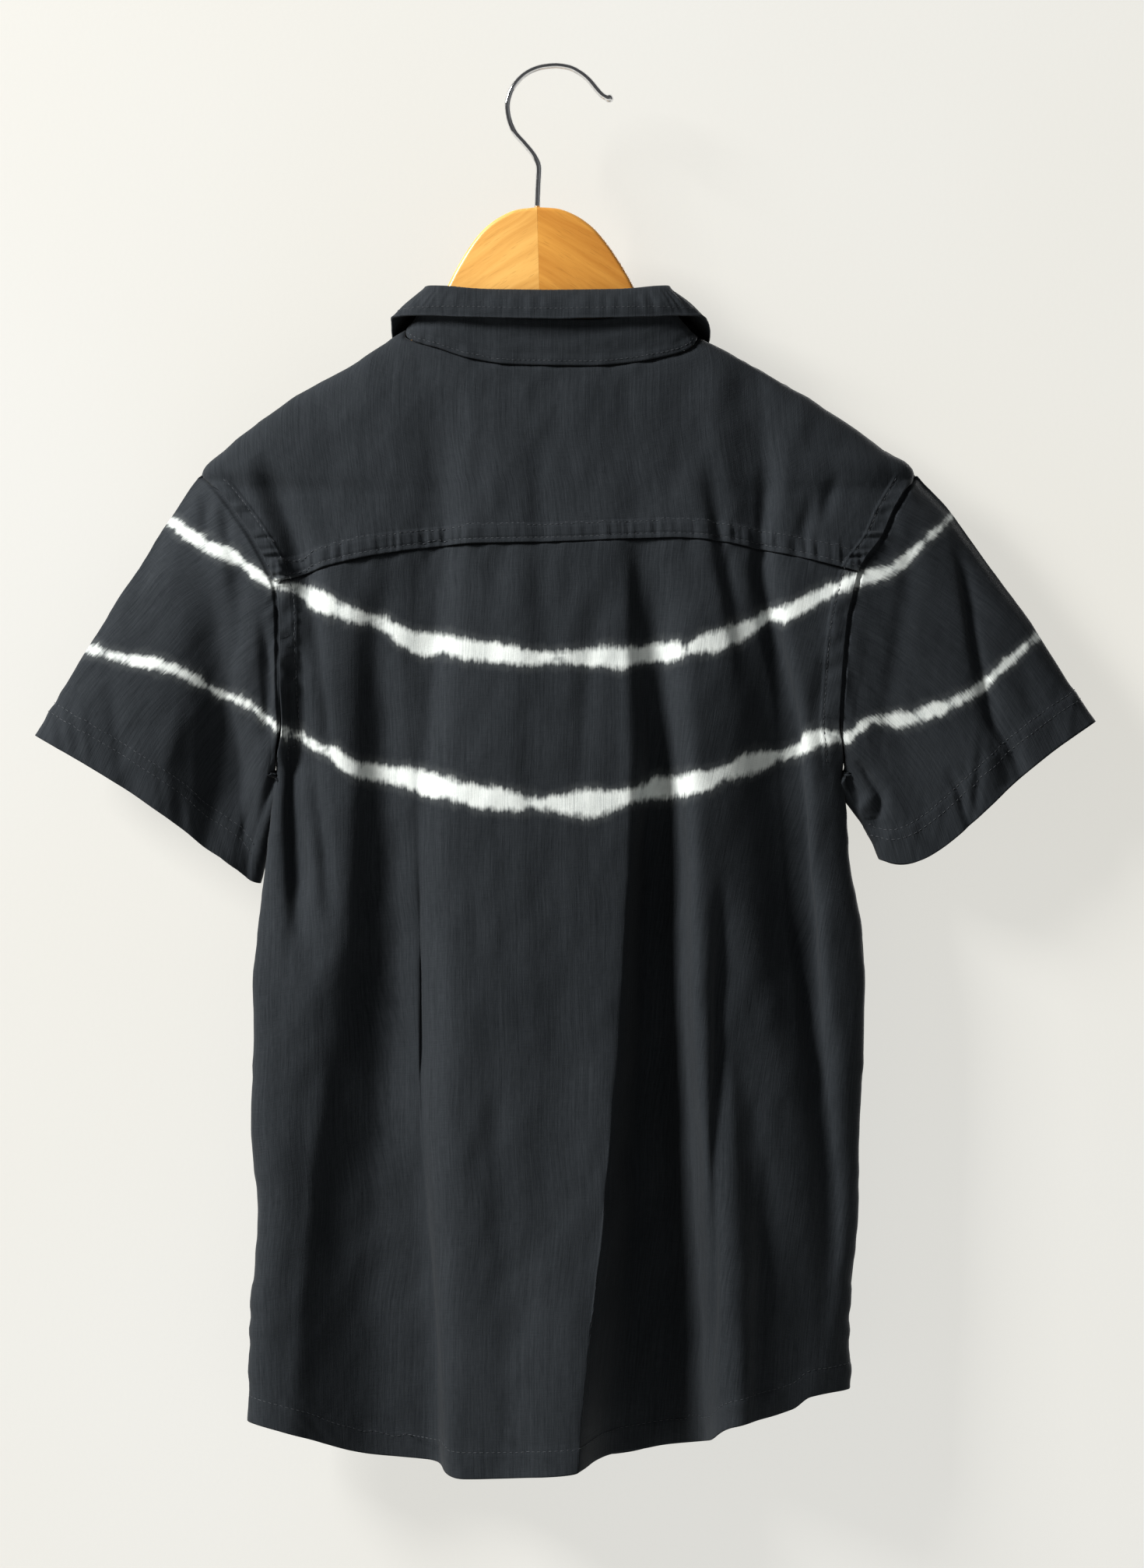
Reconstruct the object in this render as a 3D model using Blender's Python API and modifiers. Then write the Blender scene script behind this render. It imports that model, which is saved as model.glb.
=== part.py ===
"""Boys' short-sleeved shirt with a shirt collar, hanging on a wooden hanger, its back to the viewer.

Blender units are metres. Every size below is in millimetres and is turned to metres by MM.
X runs to the wearer's right, Y to the shirt's front, Z up. The origin is the inner top of the
hanger's hook, so a place is given by x, y and its drop below that point. Outlines are those of the
cloth's outer face, and each wall grows outwards from a surface that lies one wall inside them.
"""
import math

import bmesh
import bpy
import numpy as np

MM = 0.001

WALL = 1.2              # cloth with its seam allowances
STAND_WALL = 2.0        # two layers of cloth with interfacing
LEAF_WALL = 1.5
SEAM_GAP = 0.4          # between two pieces sewn edge to edge
SIDE_GAP = 0.25         # each body panel keeps this far from the side seam

CENTRE_FRONT = -3.0     # x of the button line
PLACKET_HALF = 13.0     # each front runs this far past the button line
NECK_FRONT_DROP = 205.0
NECK_DROP = {-1: 138.0, 1: 142.8}       # where each shoulder ridge meets the collar
SHOULDER_DROP = 213.0
ARMPIT_DROP = 372.0
SLEEVE_GAP = 0.9
ARMPIT_GAP = 2.4        # more room where the sleeve's underarm hangs beside the body

STAND_BACK, STAND_FRONT = 22.0, 20.0
STAND_SIDE_DIP = 2.5    # the stand is squashed lower over the shoulders
BUTTON_RADIUS, BUTTON_THICK = 5.5, 2.5
BUTTON_DROPS = (226, 304, 382, 460, 538, 616)

WOOD_HALF_THICK = 5.5
WOOD_ROUND = 2.2
WIRE_RADIUS = 1.6

# Body outline: drop, left x, right x, y of the back's edge, y of the front's edge,
# y of the back's middle, y of the front's middle
TORSO = np.array((
    (138, -80.0, 67.7, 4.0, 4.0, -9.0, 22.0),
    (143, -87.0, 77.0, 4.5, 4.5, -9.5, 24.0),
    (156, -106.0, 102.0, 5.5, 5.5, -10.0, 26.0),
    (163, -118.0, 114.7, 6.3, 6.3, -10.7, 26.8),
    (170, -131.0, 126.8, 7.0, 7.0, -11.3, 27.5),
    (180, -147.5, 143.0, 8.2, 8.2, -12.0, 28.0),
    (190, -162.0, 158.2, 9.3, 9.3, -12.5, 28.0),
    (200, -174.0, 172.3, 10.5, 10.5, -13.0, 28.0),
    (213, -187.2, 189.4, 12.0, 12.0, -14.0, 28.0),
    (218, -182.0, 187.0, 5.0, 18.5, -14.5, 28.0),
    (224, -176.9, 183.8, 0.0, 22.0, -15.0, 28.0),
    (233, -170.0, 178.5, -4.0, 24.5, -15.5, 28.0),
    (246, -161.0, 172.6, -8.0, 26.0, -16.5, 28.0),
    (264, -151.2, 160.2, -11.0, 27.0, -17.5, 28.0),
    (275, -147.2, 157.4, -12.0, 27.0, -18.0, 28.0),
    (291, -146.0, 153.8, -12.5, 27.0, -18.5, 28.0),
    (320, -146.0, 151.2, -11.5, 26.0, -19.0, 28.0),
    (345, -144.9, 150.0, -7.0, 21.5, -19.5, 28.0),
    (360, -146.8, 151.3, -1.5, 14.0, -20.0, 28.0),
    (372, -148.3, 152.0, 4.0, 4.0, -20.0, 28.0),
    (394, -151.0, 154.2, 4.0, 4.0, -20.5, 28.0),
    (415, -153.3, 155.4, 4.0, 4.0, -20.5, 28.0),
    (456, -157.9, 162.4, 4.0, 4.0, -21.0, 28.0),
    (480, -159.5, 163.6, 4.0, 4.0, -21.5, 28.0),
    (517, -157.0, 163.2, 4.0, 4.0, -22.0, 28.0),
    (558, -156.6, 160.7, 4.0, 4.0, -23.0, 28.0),
    (600, -152.0, 160.3, 4.0, 4.0, -24.0, 28.0),
    (661, -156.2, 155.4, 4.0, 4.0, -25.0, 28.0),
    (711, -157.4, 155.8, 4.0, 4.0, -25.5, 28.0),
    (745, -156.0, 155.0, 4.0, 4.0, -26.0, 28.0),
))
# How sharply the cloth turns at its edge: drop, power. A low power is a round turn.
EDGE_TURN = np.array((
    (138, 0.33), (205, 0.33), (213, 0.36), (226, 1.0), (345, 1.0), (360, 0.8), (372, 0.5), (394, 0.42), (745, 0.42),
))

# Across the back, n runs from -1 at the left edge to 1 at the right edge: n, drop
NECK_BACK = np.array((
    (-1, 138.0), (-0.92, 142.3), (-0.65, 147.6), (-0.435, 152.9), (-0.215, 156.2), (0, 156.8),
    (0.185, 157.0), (0.395, 155.4), (0.64, 151.7), (0.81, 148.4), (1, 142.8),
))
YOKE_SEAM = np.array((
    (-1, 270.5), (-0.79, 261.4), (-0.58, 254.8), (-0.32, 250.3), (0, 249.0), (0.33, 247.0),
    (0.45, 248.0), (0.66, 253.6), (0.81, 258.0), (1, 264.6),
))
HEM_BACK = np.array((
    (-1, 711.5), (-0.82, 721.0), (-0.64, 729.8), (-0.43, 735.3), (-0.3, 738.6), (-0.05, 736.0),
    (0.12, 733.0), (0.3, 729.5), (0.5, 721.0), (0.6, 711.0), (0.8, 703.5), (0.86, 697.5), (1, 695.0),
))
HEM_FRONT = np.array((
    (-1, 711.5), (-0.8, 719.0), (-0.55, 729.0), (-0.2, 736.0), (0.2, 735.0), (0.55, 724.0), (0.8, 706.0), (1, 695.0),
))
FRONT_YOKE_ARMHOLE, FRONT_YOKE_NECK = 240.0, 170.0

# Folds that hang in a panel: drop, x of the middle, reach to the left, reach to the right, depth.
# A fold with a depth over 0 is a trough into the shirt, and one under 0 is a ridge.
BACK_FOLDS = (
    {"left_power": 4, "right_power": 2, "rows": (
        (247, 47.6, 8, 9, 0), (284, 48.4, 9, 9, 5), (333, 50.8, 10, 10, 10), (394, 52.9, 10, 11, 18),
        (476, 52.5, 11, 13, 26), (558, 52.5, 14, 17, 32), (640, 53.7, 19, 20, 36), (739, 50.8, 28, 26, 40))},
    {"left_power": 2, "right_power": 2, "rows": (
        (415, 35.3, 16, 9, 0), (497, 31.0, 18, 9, -4), (579, 27.0, 25, 10, -8), (661, 18.9, 32, 10, -13),
        (739, 12.7, 38, 10, -18))},
    {"left_power": 2, "right_power": 2, "rows": (
        (292, 72.2, 11, 11, 0), (374, 72.0, 12, 14, -3), (476, 73.4, 11, 12, -8), (558, 76.0, 11, 12, -10),
        (640, 86.5, 14, 20, -10), (739, 92.0, 16, 26, -10))},
    {"left_power": 2, "right_power": 2, "rows": (
        (247, 107.0, 15, 8, 3), (292, 111.0, 16, 8, 8), (333, 115.2, 16, 9, 12), (374, 117.3, 16, 9, 14),
        (435, 122.2, 16, 9, 14), (476, 128.7, 16, 9, 12), (538, 139.8, 15, 8, 8), (600, 146.0, 14, 6, 4),
        (722, 146.0, 14, 6, 0))},
    {"left_power": 2, "right_power": 2, "rows": (
        (247, -87.7, 12, 12, 0), (320, -93.9, 9, 10, 6), (374, -92.7, 9, 11, 8), (456, -91.8, 12, 10, 10),
        (538, -95.9, 25, 12, 12), (620, -102.0, 32, 22, 15), (681, -100.0, 35, 26, 16), (739, -96.0, 36, 30, 15))},
    {"left_power": 2, "right_power": 2, "rows": (
        (285, -137.0, 9, 8, 0), (330, -134.0, 9, 8, 6), (400, -136.0, 9, 8, 6), (480, -132.0, 9, 8, 0))},
)
FRONT_FOLDS = (
    {"left_power": 2, "right_power": 2, "rows": (
        (235, -92.0, 12, 12, 0), (340, -96.0, 12, 12, 5), (480, -92.0, 16, 14, 9), (620, -86.0, 24, 18, 13),
        (739, -80.0, 30, 22, 15))},
    {"left_power": 2, "right_power": 2, "rows": (
        (240, 96.0, 12, 12, 0), (350, 104.0, 14, 10, 6), (470, 112.0, 16, 12, 8), (600, 118.0, 18, 16, 8),
        (739, 122.0, 20, 18, 7))},
    {"left_power": 2, "right_power": 2, "rows": (
        (420, -46.0, 14, 14, 0), (560, -44.0, 18, 14, -5), (739, -38.0, 24, 18, -9))},
    {"left_power": 2, "right_power": 2, "rows": (
        (400, 62.0, 12, 12, 0), (540, 66.0, 14, 16, -5), (739, 74.0, 20, 22, -8))},
)

# Collar, by the angle round the neck from the middle of the back, in degrees.
# Fold: angle, drop of the crest
LEAF_FOLD = np.array((
    (0, 118.1), (20, 117.7), (40, 116.0), (60, 115.5), (75, 115.5), (90, 116.0), (105, 119.5),
    (120, 129.0), (135, 144.0), (150, 161.0), (165, 174.0), (180, 181.0),
))
# Lower edge: angle, drop, share of the way out from the button line (front half only)
LEAF_EDGE = np.array((
    (0, 134.0, 1.0), (30, 132.5, 1.0), (45, 131.6, 1.0), (55, 131.6, 1.0), (65, 132.5, 1.0), (75, 133.8, 1.0),
    (85, 137.0, 1.0), (90, 140.2, 1.0), (100, 148.5, 0.985), (110, 162.0, 0.95), (125, 187.0, 0.82),
    (143, 228.0, 0.535), (160, 214.0, 0.285), (170, 197.0, 0.13), (178, 186.0, 0.03),
))
LEAF_END = 178.0                        # angle at which the leaf stops, each side of the button line
FOLD_REACH = {-1: 0.83, 1: 0.775}      # how far out the fold's corner is, against the neck seam
EDGE_REACH = {-1: 1.095, 1: 1.068}      # the same for the leaf's lower edge
STAND_LEAN = {-1: 11.5, 1: 14.0}        # how far the stand leans in over the shoulder
RIGHT_EDGE_LOWER = 1.2                  # the leaf's right side hangs lower

# Hanger half, hung level: distance out from its joint, drop
HANGER_TOP = (
    (0, 73.4), (10, 74.3), (19, 77.6), (28.5, 84.3), (35.2, 92.0), (42, 102.2), (47.8, 112.5), (52, 121.0),
    (58, 130.5), (67, 140.0), (78, 147.4), (96, 156.3), (107, 162.3), (121, 169.8), (138, 180.0), (152, 189.8),
    (164, 198.9), (169, 203.2),
)
HANGER_BOTTOM = ((171.5, 214), (162.5, 222), (130, 203), (100, 187), (75, 175), (50, 166), (25, 157), (0, 154))
HANGER_X, HANGER_TOP_DROP = -9.8, 73.4
HANGER_TILT = math.radians(1.6)
ARM_FORWARD = 10.0                      # the arms' ends bend towards the shirt's front
ARM_END = 169.0                         # where the bend towards the front is measured
JOINT_GAP = 0.3

# Hook wire: x, drop
HOOK = (
    (-9.7, 73.0), (-9.3, 62.0), (-8.8, 52.0), (-10.7, 46.9), (-16.0, 40.0), (-22.1, 32.8), (-24.8, 25.3),
    (-25.5, 19.6), (-24.4, 13.9), (-21.1, 7.8), (-14.5, 1.9), (-7.0, -0.9), (0.0, -1.6), (7.1, -0.6),
    (12.8, 2.2), (17.5, 6.0), (21.5, 10.8), (24.6, 14.2), (27.9, 15.8), (30.5, 15.8),
)
HOOK_TIP_RADIUS = 2.3

CHARCOAL = (0.022, 0.026, 0.031, 1.0)
BUTTON_GREY = (0.03, 0.033, 0.038, 1.0)
WOOD_LIGHT = (0.74, 0.42, 0.14, 1.0)
WOOD_DARK = (0.58, 0.28, 0.07, 1.0)
CHROME = (0.62, 0.62, 0.63, 1.0)


def smooth(table, at, column=1):
    """A monotone cubic curve through one column of a table, against its first column."""
    xs, ys = np.asarray(table, float)[:, 0], np.asarray(table, float)[:, column]
    at = np.clip(np.asarray(at, float), xs[0], xs[-1])
    step = np.diff(xs)
    slope = np.diff(ys) / step
    before, after = slope[:-1], slope[1:]
    same_sign = before * after > 0
    inner = np.where(same_sign, 2 * before * after / np.where(same_sign, before + after, 1.0), 0.0)
    tangent = np.concatenate(([slope[0]], inner, [slope[-1]]))
    i = np.clip(np.searchsorted(xs, at, side="right") - 1, 0, len(xs) - 2)
    h, t = step[i], (at - xs[i]) / step[i]
    return ((1 + 2 * t) * (1 - t) ** 2 * ys[i] + t * (1 - t) ** 2 * h * tangent[i]
            + t ** 2 * (3 - 2 * t) * ys[i + 1] + t ** 2 * (t - 1) * h * tangent[i + 1])


def ramp(value, start, end):
    """0 before start and 1 after end, with a soft turn at each."""
    t = np.clip((value - start) / (end - start), 0.0, 1.0)
    return t * t * (3 - 2 * t)


def fold_depth(folds, x, drop):
    """How far a panel's folds push it towards the inside of the shirt."""
    total = np.zeros_like(x)
    for fold in folds:
        middle, left, right, depth = (smooth(fold["rows"], drop, column) for column in range(1, 5))
        away = x - middle
        shape = np.where(away < 0, np.exp(-np.abs(away / left) ** fold["left_power"]),
                         np.exp(-np.abs(away / right) ** fold["right_power"]))
        total = total + depth * shape
    return total


def side_x(side, drop):
    """x of the body's edge: side -1 is the left one and 1 the right one."""
    return smooth(TORSO, drop, 1 if side < 0 else 2) - side * WALL


def across(x, drop):
    """The place of x between the body's edges, from -1 to 1."""
    left, right = side_x(-1, drop), side_x(1, drop)
    return np.clip((2 * x - left - right) / (right - left), -1.0, 1.0)


def x_at(n, drop):
    left, right = side_x(-1, drop), side_x(1, drop)
    return (left + right) / 2 + n * (right - left) / 2


def bow(n, drop):
    """0 at a panel's edges and 1 over its middle."""
    return np.maximum(1 - np.abs(n) ** 2.4, 0.0) ** smooth(EDGE_TURN, drop)


def back_y(n, drop):
    edge, middle = smooth(TORSO, drop, 3), smooth(TORSO, drop, 5) + WALL
    folds = fold_depth(BACK_FOLDS, x_at(n, drop), drop) * (1 - np.abs(n) ** 12)
    return edge + (middle - edge) * bow(n, drop) + folds


def front_y(n, drop):
    edge, middle = smooth(TORSO, drop, 4), smooth(TORSO, drop, 6) - WALL
    folds = fold_depth(FRONT_FOLDS, x_at(n, drop), drop) * (1 - np.abs(n) ** 12)
    return edge + (middle - edge) * bow(n, drop) - folds


def neck_x(side):
    return float(side_x(side, NECK_DROP[side]))


def inner_x(side, drop):
    """x of a front's inner edge: the round neckline, then the straight placket."""
    placket = CENTRE_FRONT - side * PLACKET_HALF
    down = np.clip((drop - NECK_DROP[side]) / (NECK_FRONT_DROP - NECK_DROP[side]), 0.0, 1.0)
    return placket + (neck_x(side) - placket) * np.sqrt(1 - down ** 2)


def front_point(side, m, drop):
    """A point of a front: m runs from 0 at its outer edge to 1 at its inner edge."""
    outer = side_x(side, drop)
    x = outer + m * (inner_x(side, drop) - outer)
    y = front_y(across(x, drop), drop)
    if side > 0:
        y = y - (WALL + 0.6) * (1 - ramp(x, CENTRE_FRONT + 18, CENTRE_FRONT + 34))
    return x, y, -drop


def spread(t):
    """Columns that lie closer together near both edges."""
    return 0.5 * t + 0.5 * np.sin(np.pi * t / 2)


def add_grid(bm, columns, rows, place, flip=False):
    """Add a surface whose points are place(u, v), with u and v running from 0 to 1."""
    made = bmesh.ops.create_grid(bm, x_segments=columns, y_segments=rows, size=0.5)
    verts = made["verts"]
    u = np.round([v.co.x + 0.5 for v in verts], 6)
    v = np.round([v.co.y + 0.5 for v in verts], 6)
    x, y, z = place(u, v)
    for vert, co in zip(verts, zip(x, y, z)):
        vert.co = [float(c) * MM for c in co]
    if flip:
        bmesh.ops.reverse_faces(bm, faces=list({face for vert in verts for face in vert.link_faces}))


def material(name, color, roughness, metallic=0.0):
    made = bpy.data.materials.new(name)
    made.use_nodes = True
    shader = made.node_tree.nodes["Principled BSDF"]
    shader.inputs["Base Color"].default_value = color
    shader.inputs["Roughness"].default_value = roughness
    shader.inputs["Metallic"].default_value = metallic
    return made


def new_object(name, mesh, color, roughness, metallic=0.0):
    mesh.materials.append(material(name, color, roughness, metallic))
    obj = bpy.data.objects.new(name, mesh)
    shirt.objects.link(obj)
    return obj


def cloth_piece(name, bm, wall=WALL):
    """Close a bmesh surface into a named wall that grows outwards."""
    bmesh.ops.remove_doubles(bm, verts=bm.verts, dist=0.01 * MM)
    mesh = bpy.data.meshes.new(name)
    bm.to_mesh(mesh)
    bm.free()
    mesh.shade_smooth()
    obj = new_object(name, mesh, CHARCOAL, 0.9)
    solidify = obj.modifiers.new("wall", "SOLIDIFY")
    solidify.thickness = wall * MM
    solidify.offset = 1.0
    return obj


YOKE_UPPER_ROWS, YOKE_LOWER_ROWS, STRIP_LOWER_ROWS = 5, 4, 2
FRONT_COLUMNS, NECKLINE_ROWS, FRONT_ROWS = 14, 8, 25


def yoke_back_point(u, v):
    """The yoke's back: its rows are set so that one of them meets both shoulder points."""
    n = spread(2 * u - 1)
    neck, seam = smooth(NECK_BACK, n), smooth(YOKE_SEAM, n) - SEAM_GAP
    at_shoulder = np.interp(n, (-1, 1), [
        (SHOULDER_DROP - NECK_DROP[side]) / (YOKE_SEAM[end, 1] - SEAM_GAP - NECK_DROP[side])
        for side, end in ((-1, 0), (1, -1))])
    row = v * (YOKE_UPPER_ROWS + YOKE_LOWER_ROWS)
    share = np.where(row <= YOKE_UPPER_ROWS, at_shoulder * row / YOKE_UPPER_ROWS,
                     at_shoulder + (1 - at_shoulder) * (row - YOKE_UPPER_ROWS) / YOKE_LOWER_ROWS)
    drop = neck + share * (seam - neck)
    return x_at(n, drop), back_y(n, drop), -drop


def front_yoke_drop(m):
    return FRONT_YOKE_ARMHOLE + (FRONT_YOKE_NECK - FRONT_YOKE_ARMHOLE) * m


def yoke_strip_point(side):
    """The part of the yoke that comes over one shoulder to the front."""
    def place(u, v):
        neck = NECK_DROP[side]
        row = v * (YOKE_UPPER_ROWS + STRIP_LOWER_ROWS)
        ridge = np.where(row <= YOKE_UPPER_ROWS,
                         neck + (SHOULDER_DROP - neck) * row / YOKE_UPPER_ROWS,
                         SHOULDER_DROP + (FRONT_YOKE_ARMHOLE - SHOULDER_DROP)
                         * (row - YOKE_UPPER_ROWS) / STRIP_LOWER_ROWS)
        share = (ridge - neck) / (FRONT_YOKE_ARMHOLE - neck)
        drop = neck + share * (front_yoke_drop(u) - SEAM_GAP * (u > 0) - neck)
        return front_point(side, u, drop)
    return place


def make_yoke():
    bm = bmesh.new()
    add_grid(bm, 34, YOKE_UPPER_ROWS + YOKE_LOWER_ROWS, yoke_back_point, flip=True)
    add_grid(bm, FRONT_COLUMNS, YOKE_UPPER_ROWS + STRIP_LOWER_ROWS, yoke_strip_point(-1))
    add_grid(bm, FRONT_COLUMNS, YOKE_UPPER_ROWS + STRIP_LOWER_ROWS, yoke_strip_point(1), flip=True)
    cloth_piece("yoke", bm)


def back_point(u, v):
    n = spread(2 * u - 1)
    drop = smooth(YOKE_SEAM, n) + v * (smooth(HEM_BACK, n) - smooth(YOKE_SEAM, n))
    return x_at(n, drop), back_y(n, drop) - SIDE_GAP * ramp(np.abs(n), 0.98, 1.0), -drop


def make_back():
    bm = bmesh.new()
    add_grid(bm, 40, 26, back_point, flip=True)
    cloth_piece("back", bm)


CHEST_ARMHOLE = 272.0   # the row that meets the foot of the neckline meets the armhole here


def front_panel_point(side):
    """A front below the yoke: its upper rows follow the round of the neckline, evenly by its angle."""
    depth = NECK_FRONT_DROP - NECK_DROP[side]
    start = math.acos((FRONT_YOKE_NECK - NECK_DROP[side]) / depth)

    def place(u, v):
        top = front_yoke_drop(u) + SEAM_GAP
        chest = CHEST_ARMHOLE + (NECK_FRONT_DROP - CHEST_ARMHOLE) * u
        hem = smooth(HEM_FRONT, side * (1 - u))
        row = v * FRONT_ROWS
        round_share = (depth * np.cos(start * (1 - np.minimum(row / NECKLINE_ROWS, 1))) + NECK_DROP[side]
                       - FRONT_YOKE_NECK) / (NECK_FRONT_DROP - FRONT_YOKE_NECK)
        straight_share = np.clip((row - NECKLINE_ROWS) / (FRONT_ROWS - NECKLINE_ROWS), 0, 1)
        drop = np.where(row <= NECKLINE_ROWS, top + (chest - top) * round_share,
                        chest + (hem - chest) * straight_share)
        x, y, z = front_point(side, u, drop)
        return x, y + SIDE_GAP * (1 - ramp(u, 0.0, 0.04)), z
    return place


def make_fronts():
    for name, side in (("front_left", -1), ("front_right", 1)):
        bm = bmesh.new()
        add_grid(bm, FRONT_COLUMNS, FRONT_ROWS, front_panel_point(side), flip=side > 0)
        cloth_piece(name, bm)


# Sleeve hem: x and drop of its top and bottom, how far its middle arches up and its lower part sags,
# and the bulge of the sleeve's upper edge
SLEEVE = {
    -1: {"top": (-274.6, 351.5), "bottom": (-162.4, 428.0), "arch": 5.0, "sag": 0.0, "bulge": 1.5},
    1: {"top": (284.4, 344.5), "bottom": (172.6, 415.5), "arch": 0.0, "sag": 140.0, "bulge": 4.0},
}
CUFF_MIDDLE_Y, CUFF_HALF_DEPTH = 8.0, 11.5
FRONT_CUFF_LOWER = 1.5
# Trough that runs down each sleeve: share of the way round, share of the length at its deepest, depth
SLEEVE_TROUGH = {-1: (0.33, 0.45, 8.0), 1: (0.30, 0.5, 4.0)}


def sleeve_point(side):
    """A tube from the armhole to the hem: u runs round from the top edge by the back, v down it."""
    size = SLEEVE[side]

    def place(u, v):
        turn = 2 * np.pi * u
        down = (1 - np.cos(turn)) / 2
        back = u < 0.5
        drop = SHOULDER_DROP + (ARMPIT_DROP - SHOULDER_DROP) * down
        start_x = side_x(side, drop) + side * (SLEEVE_GAP + (ARMPIT_GAP - SLEEVE_GAP) * down ** 5)
        start_y = np.where(back, smooth(TORSO, drop, 3), smooth(TORSO, drop, 4))
        end_x = size["top"][0] + (size["bottom"][0] - size["top"][0]) * down
        end_drop = size["top"][1] + (size["bottom"][1] - size["top"][1]) * down
        end_drop = end_drop + size["sag"] * down ** 3 * (1 - down) - size["arch"] * np.sin(np.pi * down)
        end_drop = end_drop + FRONT_CUFF_LOWER * (~back) * np.abs(np.sin(turn))
        end_y = CUFF_MIDDLE_Y - CUFF_HALF_DEPTH * np.sign(np.sin(turn)) * np.abs(np.sin(turn)) ** 0.8
        x = start_x + (end_x - start_x) * v
        y = start_y + (end_y - start_y) * v
        out = drop + (end_drop - drop) * v
        lift = 6.75 * v * (1 - v) ** 2 * size["bulge"] * (1 - down)
        around, along, depth = SLEEVE_TROUGH[side]
        trough = depth * np.exp(-((u - around) / 0.06) ** 2) * np.exp(-((v - along) / 0.38) ** 2)
        trough_front = 0.7 * depth * np.exp(-((u - 0.68) / 0.07) ** 2) * np.exp(-((v - along) / 0.4) ** 2)
        faded = np.minimum(v / 0.12, 1.0)
        y = y + faded * (trough - trough_front)
        return x + side * lift * 0.8, y, -(out - lift * 0.6)
    return place


def make_sleeves():
    for name, side in (("sleeve_left", -1), ("sleeve_right", 1)):
        bm = bmesh.new()
        add_grid(bm, 36, 10, sleeve_point(side), flip=side < 0)
        cloth_piece(name, bm)


def neck_ring(angle):
    """The neck seam, by the angle in degrees from the middle of the back."""
    turn = np.radians(angle)
    side = np.where(angle < 0, -1, 1)
    n = np.sin(turn)
    at_back = np.abs(angle) <= 90
    back_drop = smooth(NECK_BACK, n)
    neck = np.where(side < 0, NECK_DROP[-1], NECK_DROP[1])
    front_drop = neck + (NECK_FRONT_DROP - neck) * np.abs(np.cos(turn))
    front_x = np.where(side < 0, inner_x(-1, front_drop), inner_x(1, front_drop))
    drop = np.where(at_back, back_drop, front_drop)
    x = np.where(at_back, x_at(n, back_drop), front_x)
    y = np.where(at_back, back_y(n, back_drop), front_y(across(front_x, front_drop), front_drop))
    return x, y, drop


def ring_outward(angle, step=5.0):
    """The level direction that points away from the neck."""
    before_x, before_y, _ = neck_ring(np.clip(angle - step, -180, 180))
    after_x, after_y, _ = neck_ring(np.clip(angle + step, -180, 180))
    along_x, along_y = after_x - before_x, after_y - before_y
    length = np.hypot(along_x, along_y)
    return along_y / length, -along_x / length


def by_side(angle, values):
    return np.where(angle < 0, values[-1], values[1])


def stand_height(angle):
    sideways = np.abs(np.sin(np.radians(angle)))
    return STAND_BACK + (STAND_FRONT - STAND_BACK) * ramp(np.abs(angle), 90, 180) - STAND_SIDE_DIP * sideways ** 4


def square_corner(angle):
    """How far the upper collar stands back at its two back corners, clear of the hanger's head."""
    return np.where(np.abs(angle) < 90, 2.4 * np.sin(2 * np.radians(angle)) ** 2, 0.0)


def stand_ring(angle, up):
    """The collar stand, from the neck seam (up 0) to its upper edge (up 1)."""
    x, y, drop = neck_ring(angle)
    turn = np.radians(angle)
    sideways = np.abs(np.sin(turn))
    forward = np.maximum(-np.cos(turn), 0.0)
    height = stand_height(angle)
    lean_x = by_side(angle, STAND_LEAN) * sideways ** 3
    lean_y = 5.0 * forward ** 2
    rise = np.sqrt(height ** 2 - np.minimum(lean_x ** 2 + lean_y ** 2, 0.6 * height ** 2))
    side = np.where(angle < 0, -1, 1)
    inset = 2.8 * sideways ** 4
    tuck = 2.4 * ramp(angle, 140, 165)
    return (x - side * (inset + lean_x * up), y - (lean_y + square_corner(angle)) * up - tuck,
            -(drop - SEAM_GAP * 1.8 - rise * up))


def make_stand():
    bm = bmesh.new()

    def place(u, v):
        return stand_ring(360 * u - 180, v)
    add_grid(bm, 44, 2, place)
    cloth_piece("collar_stand", bm, STAND_WALL)


FOLD_HALF = 1.7         # half the space inside the leaf's fold
LEAF_STAND_OFF = 6.5    # the leaf's back edge stands this far off the neck seam


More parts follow.
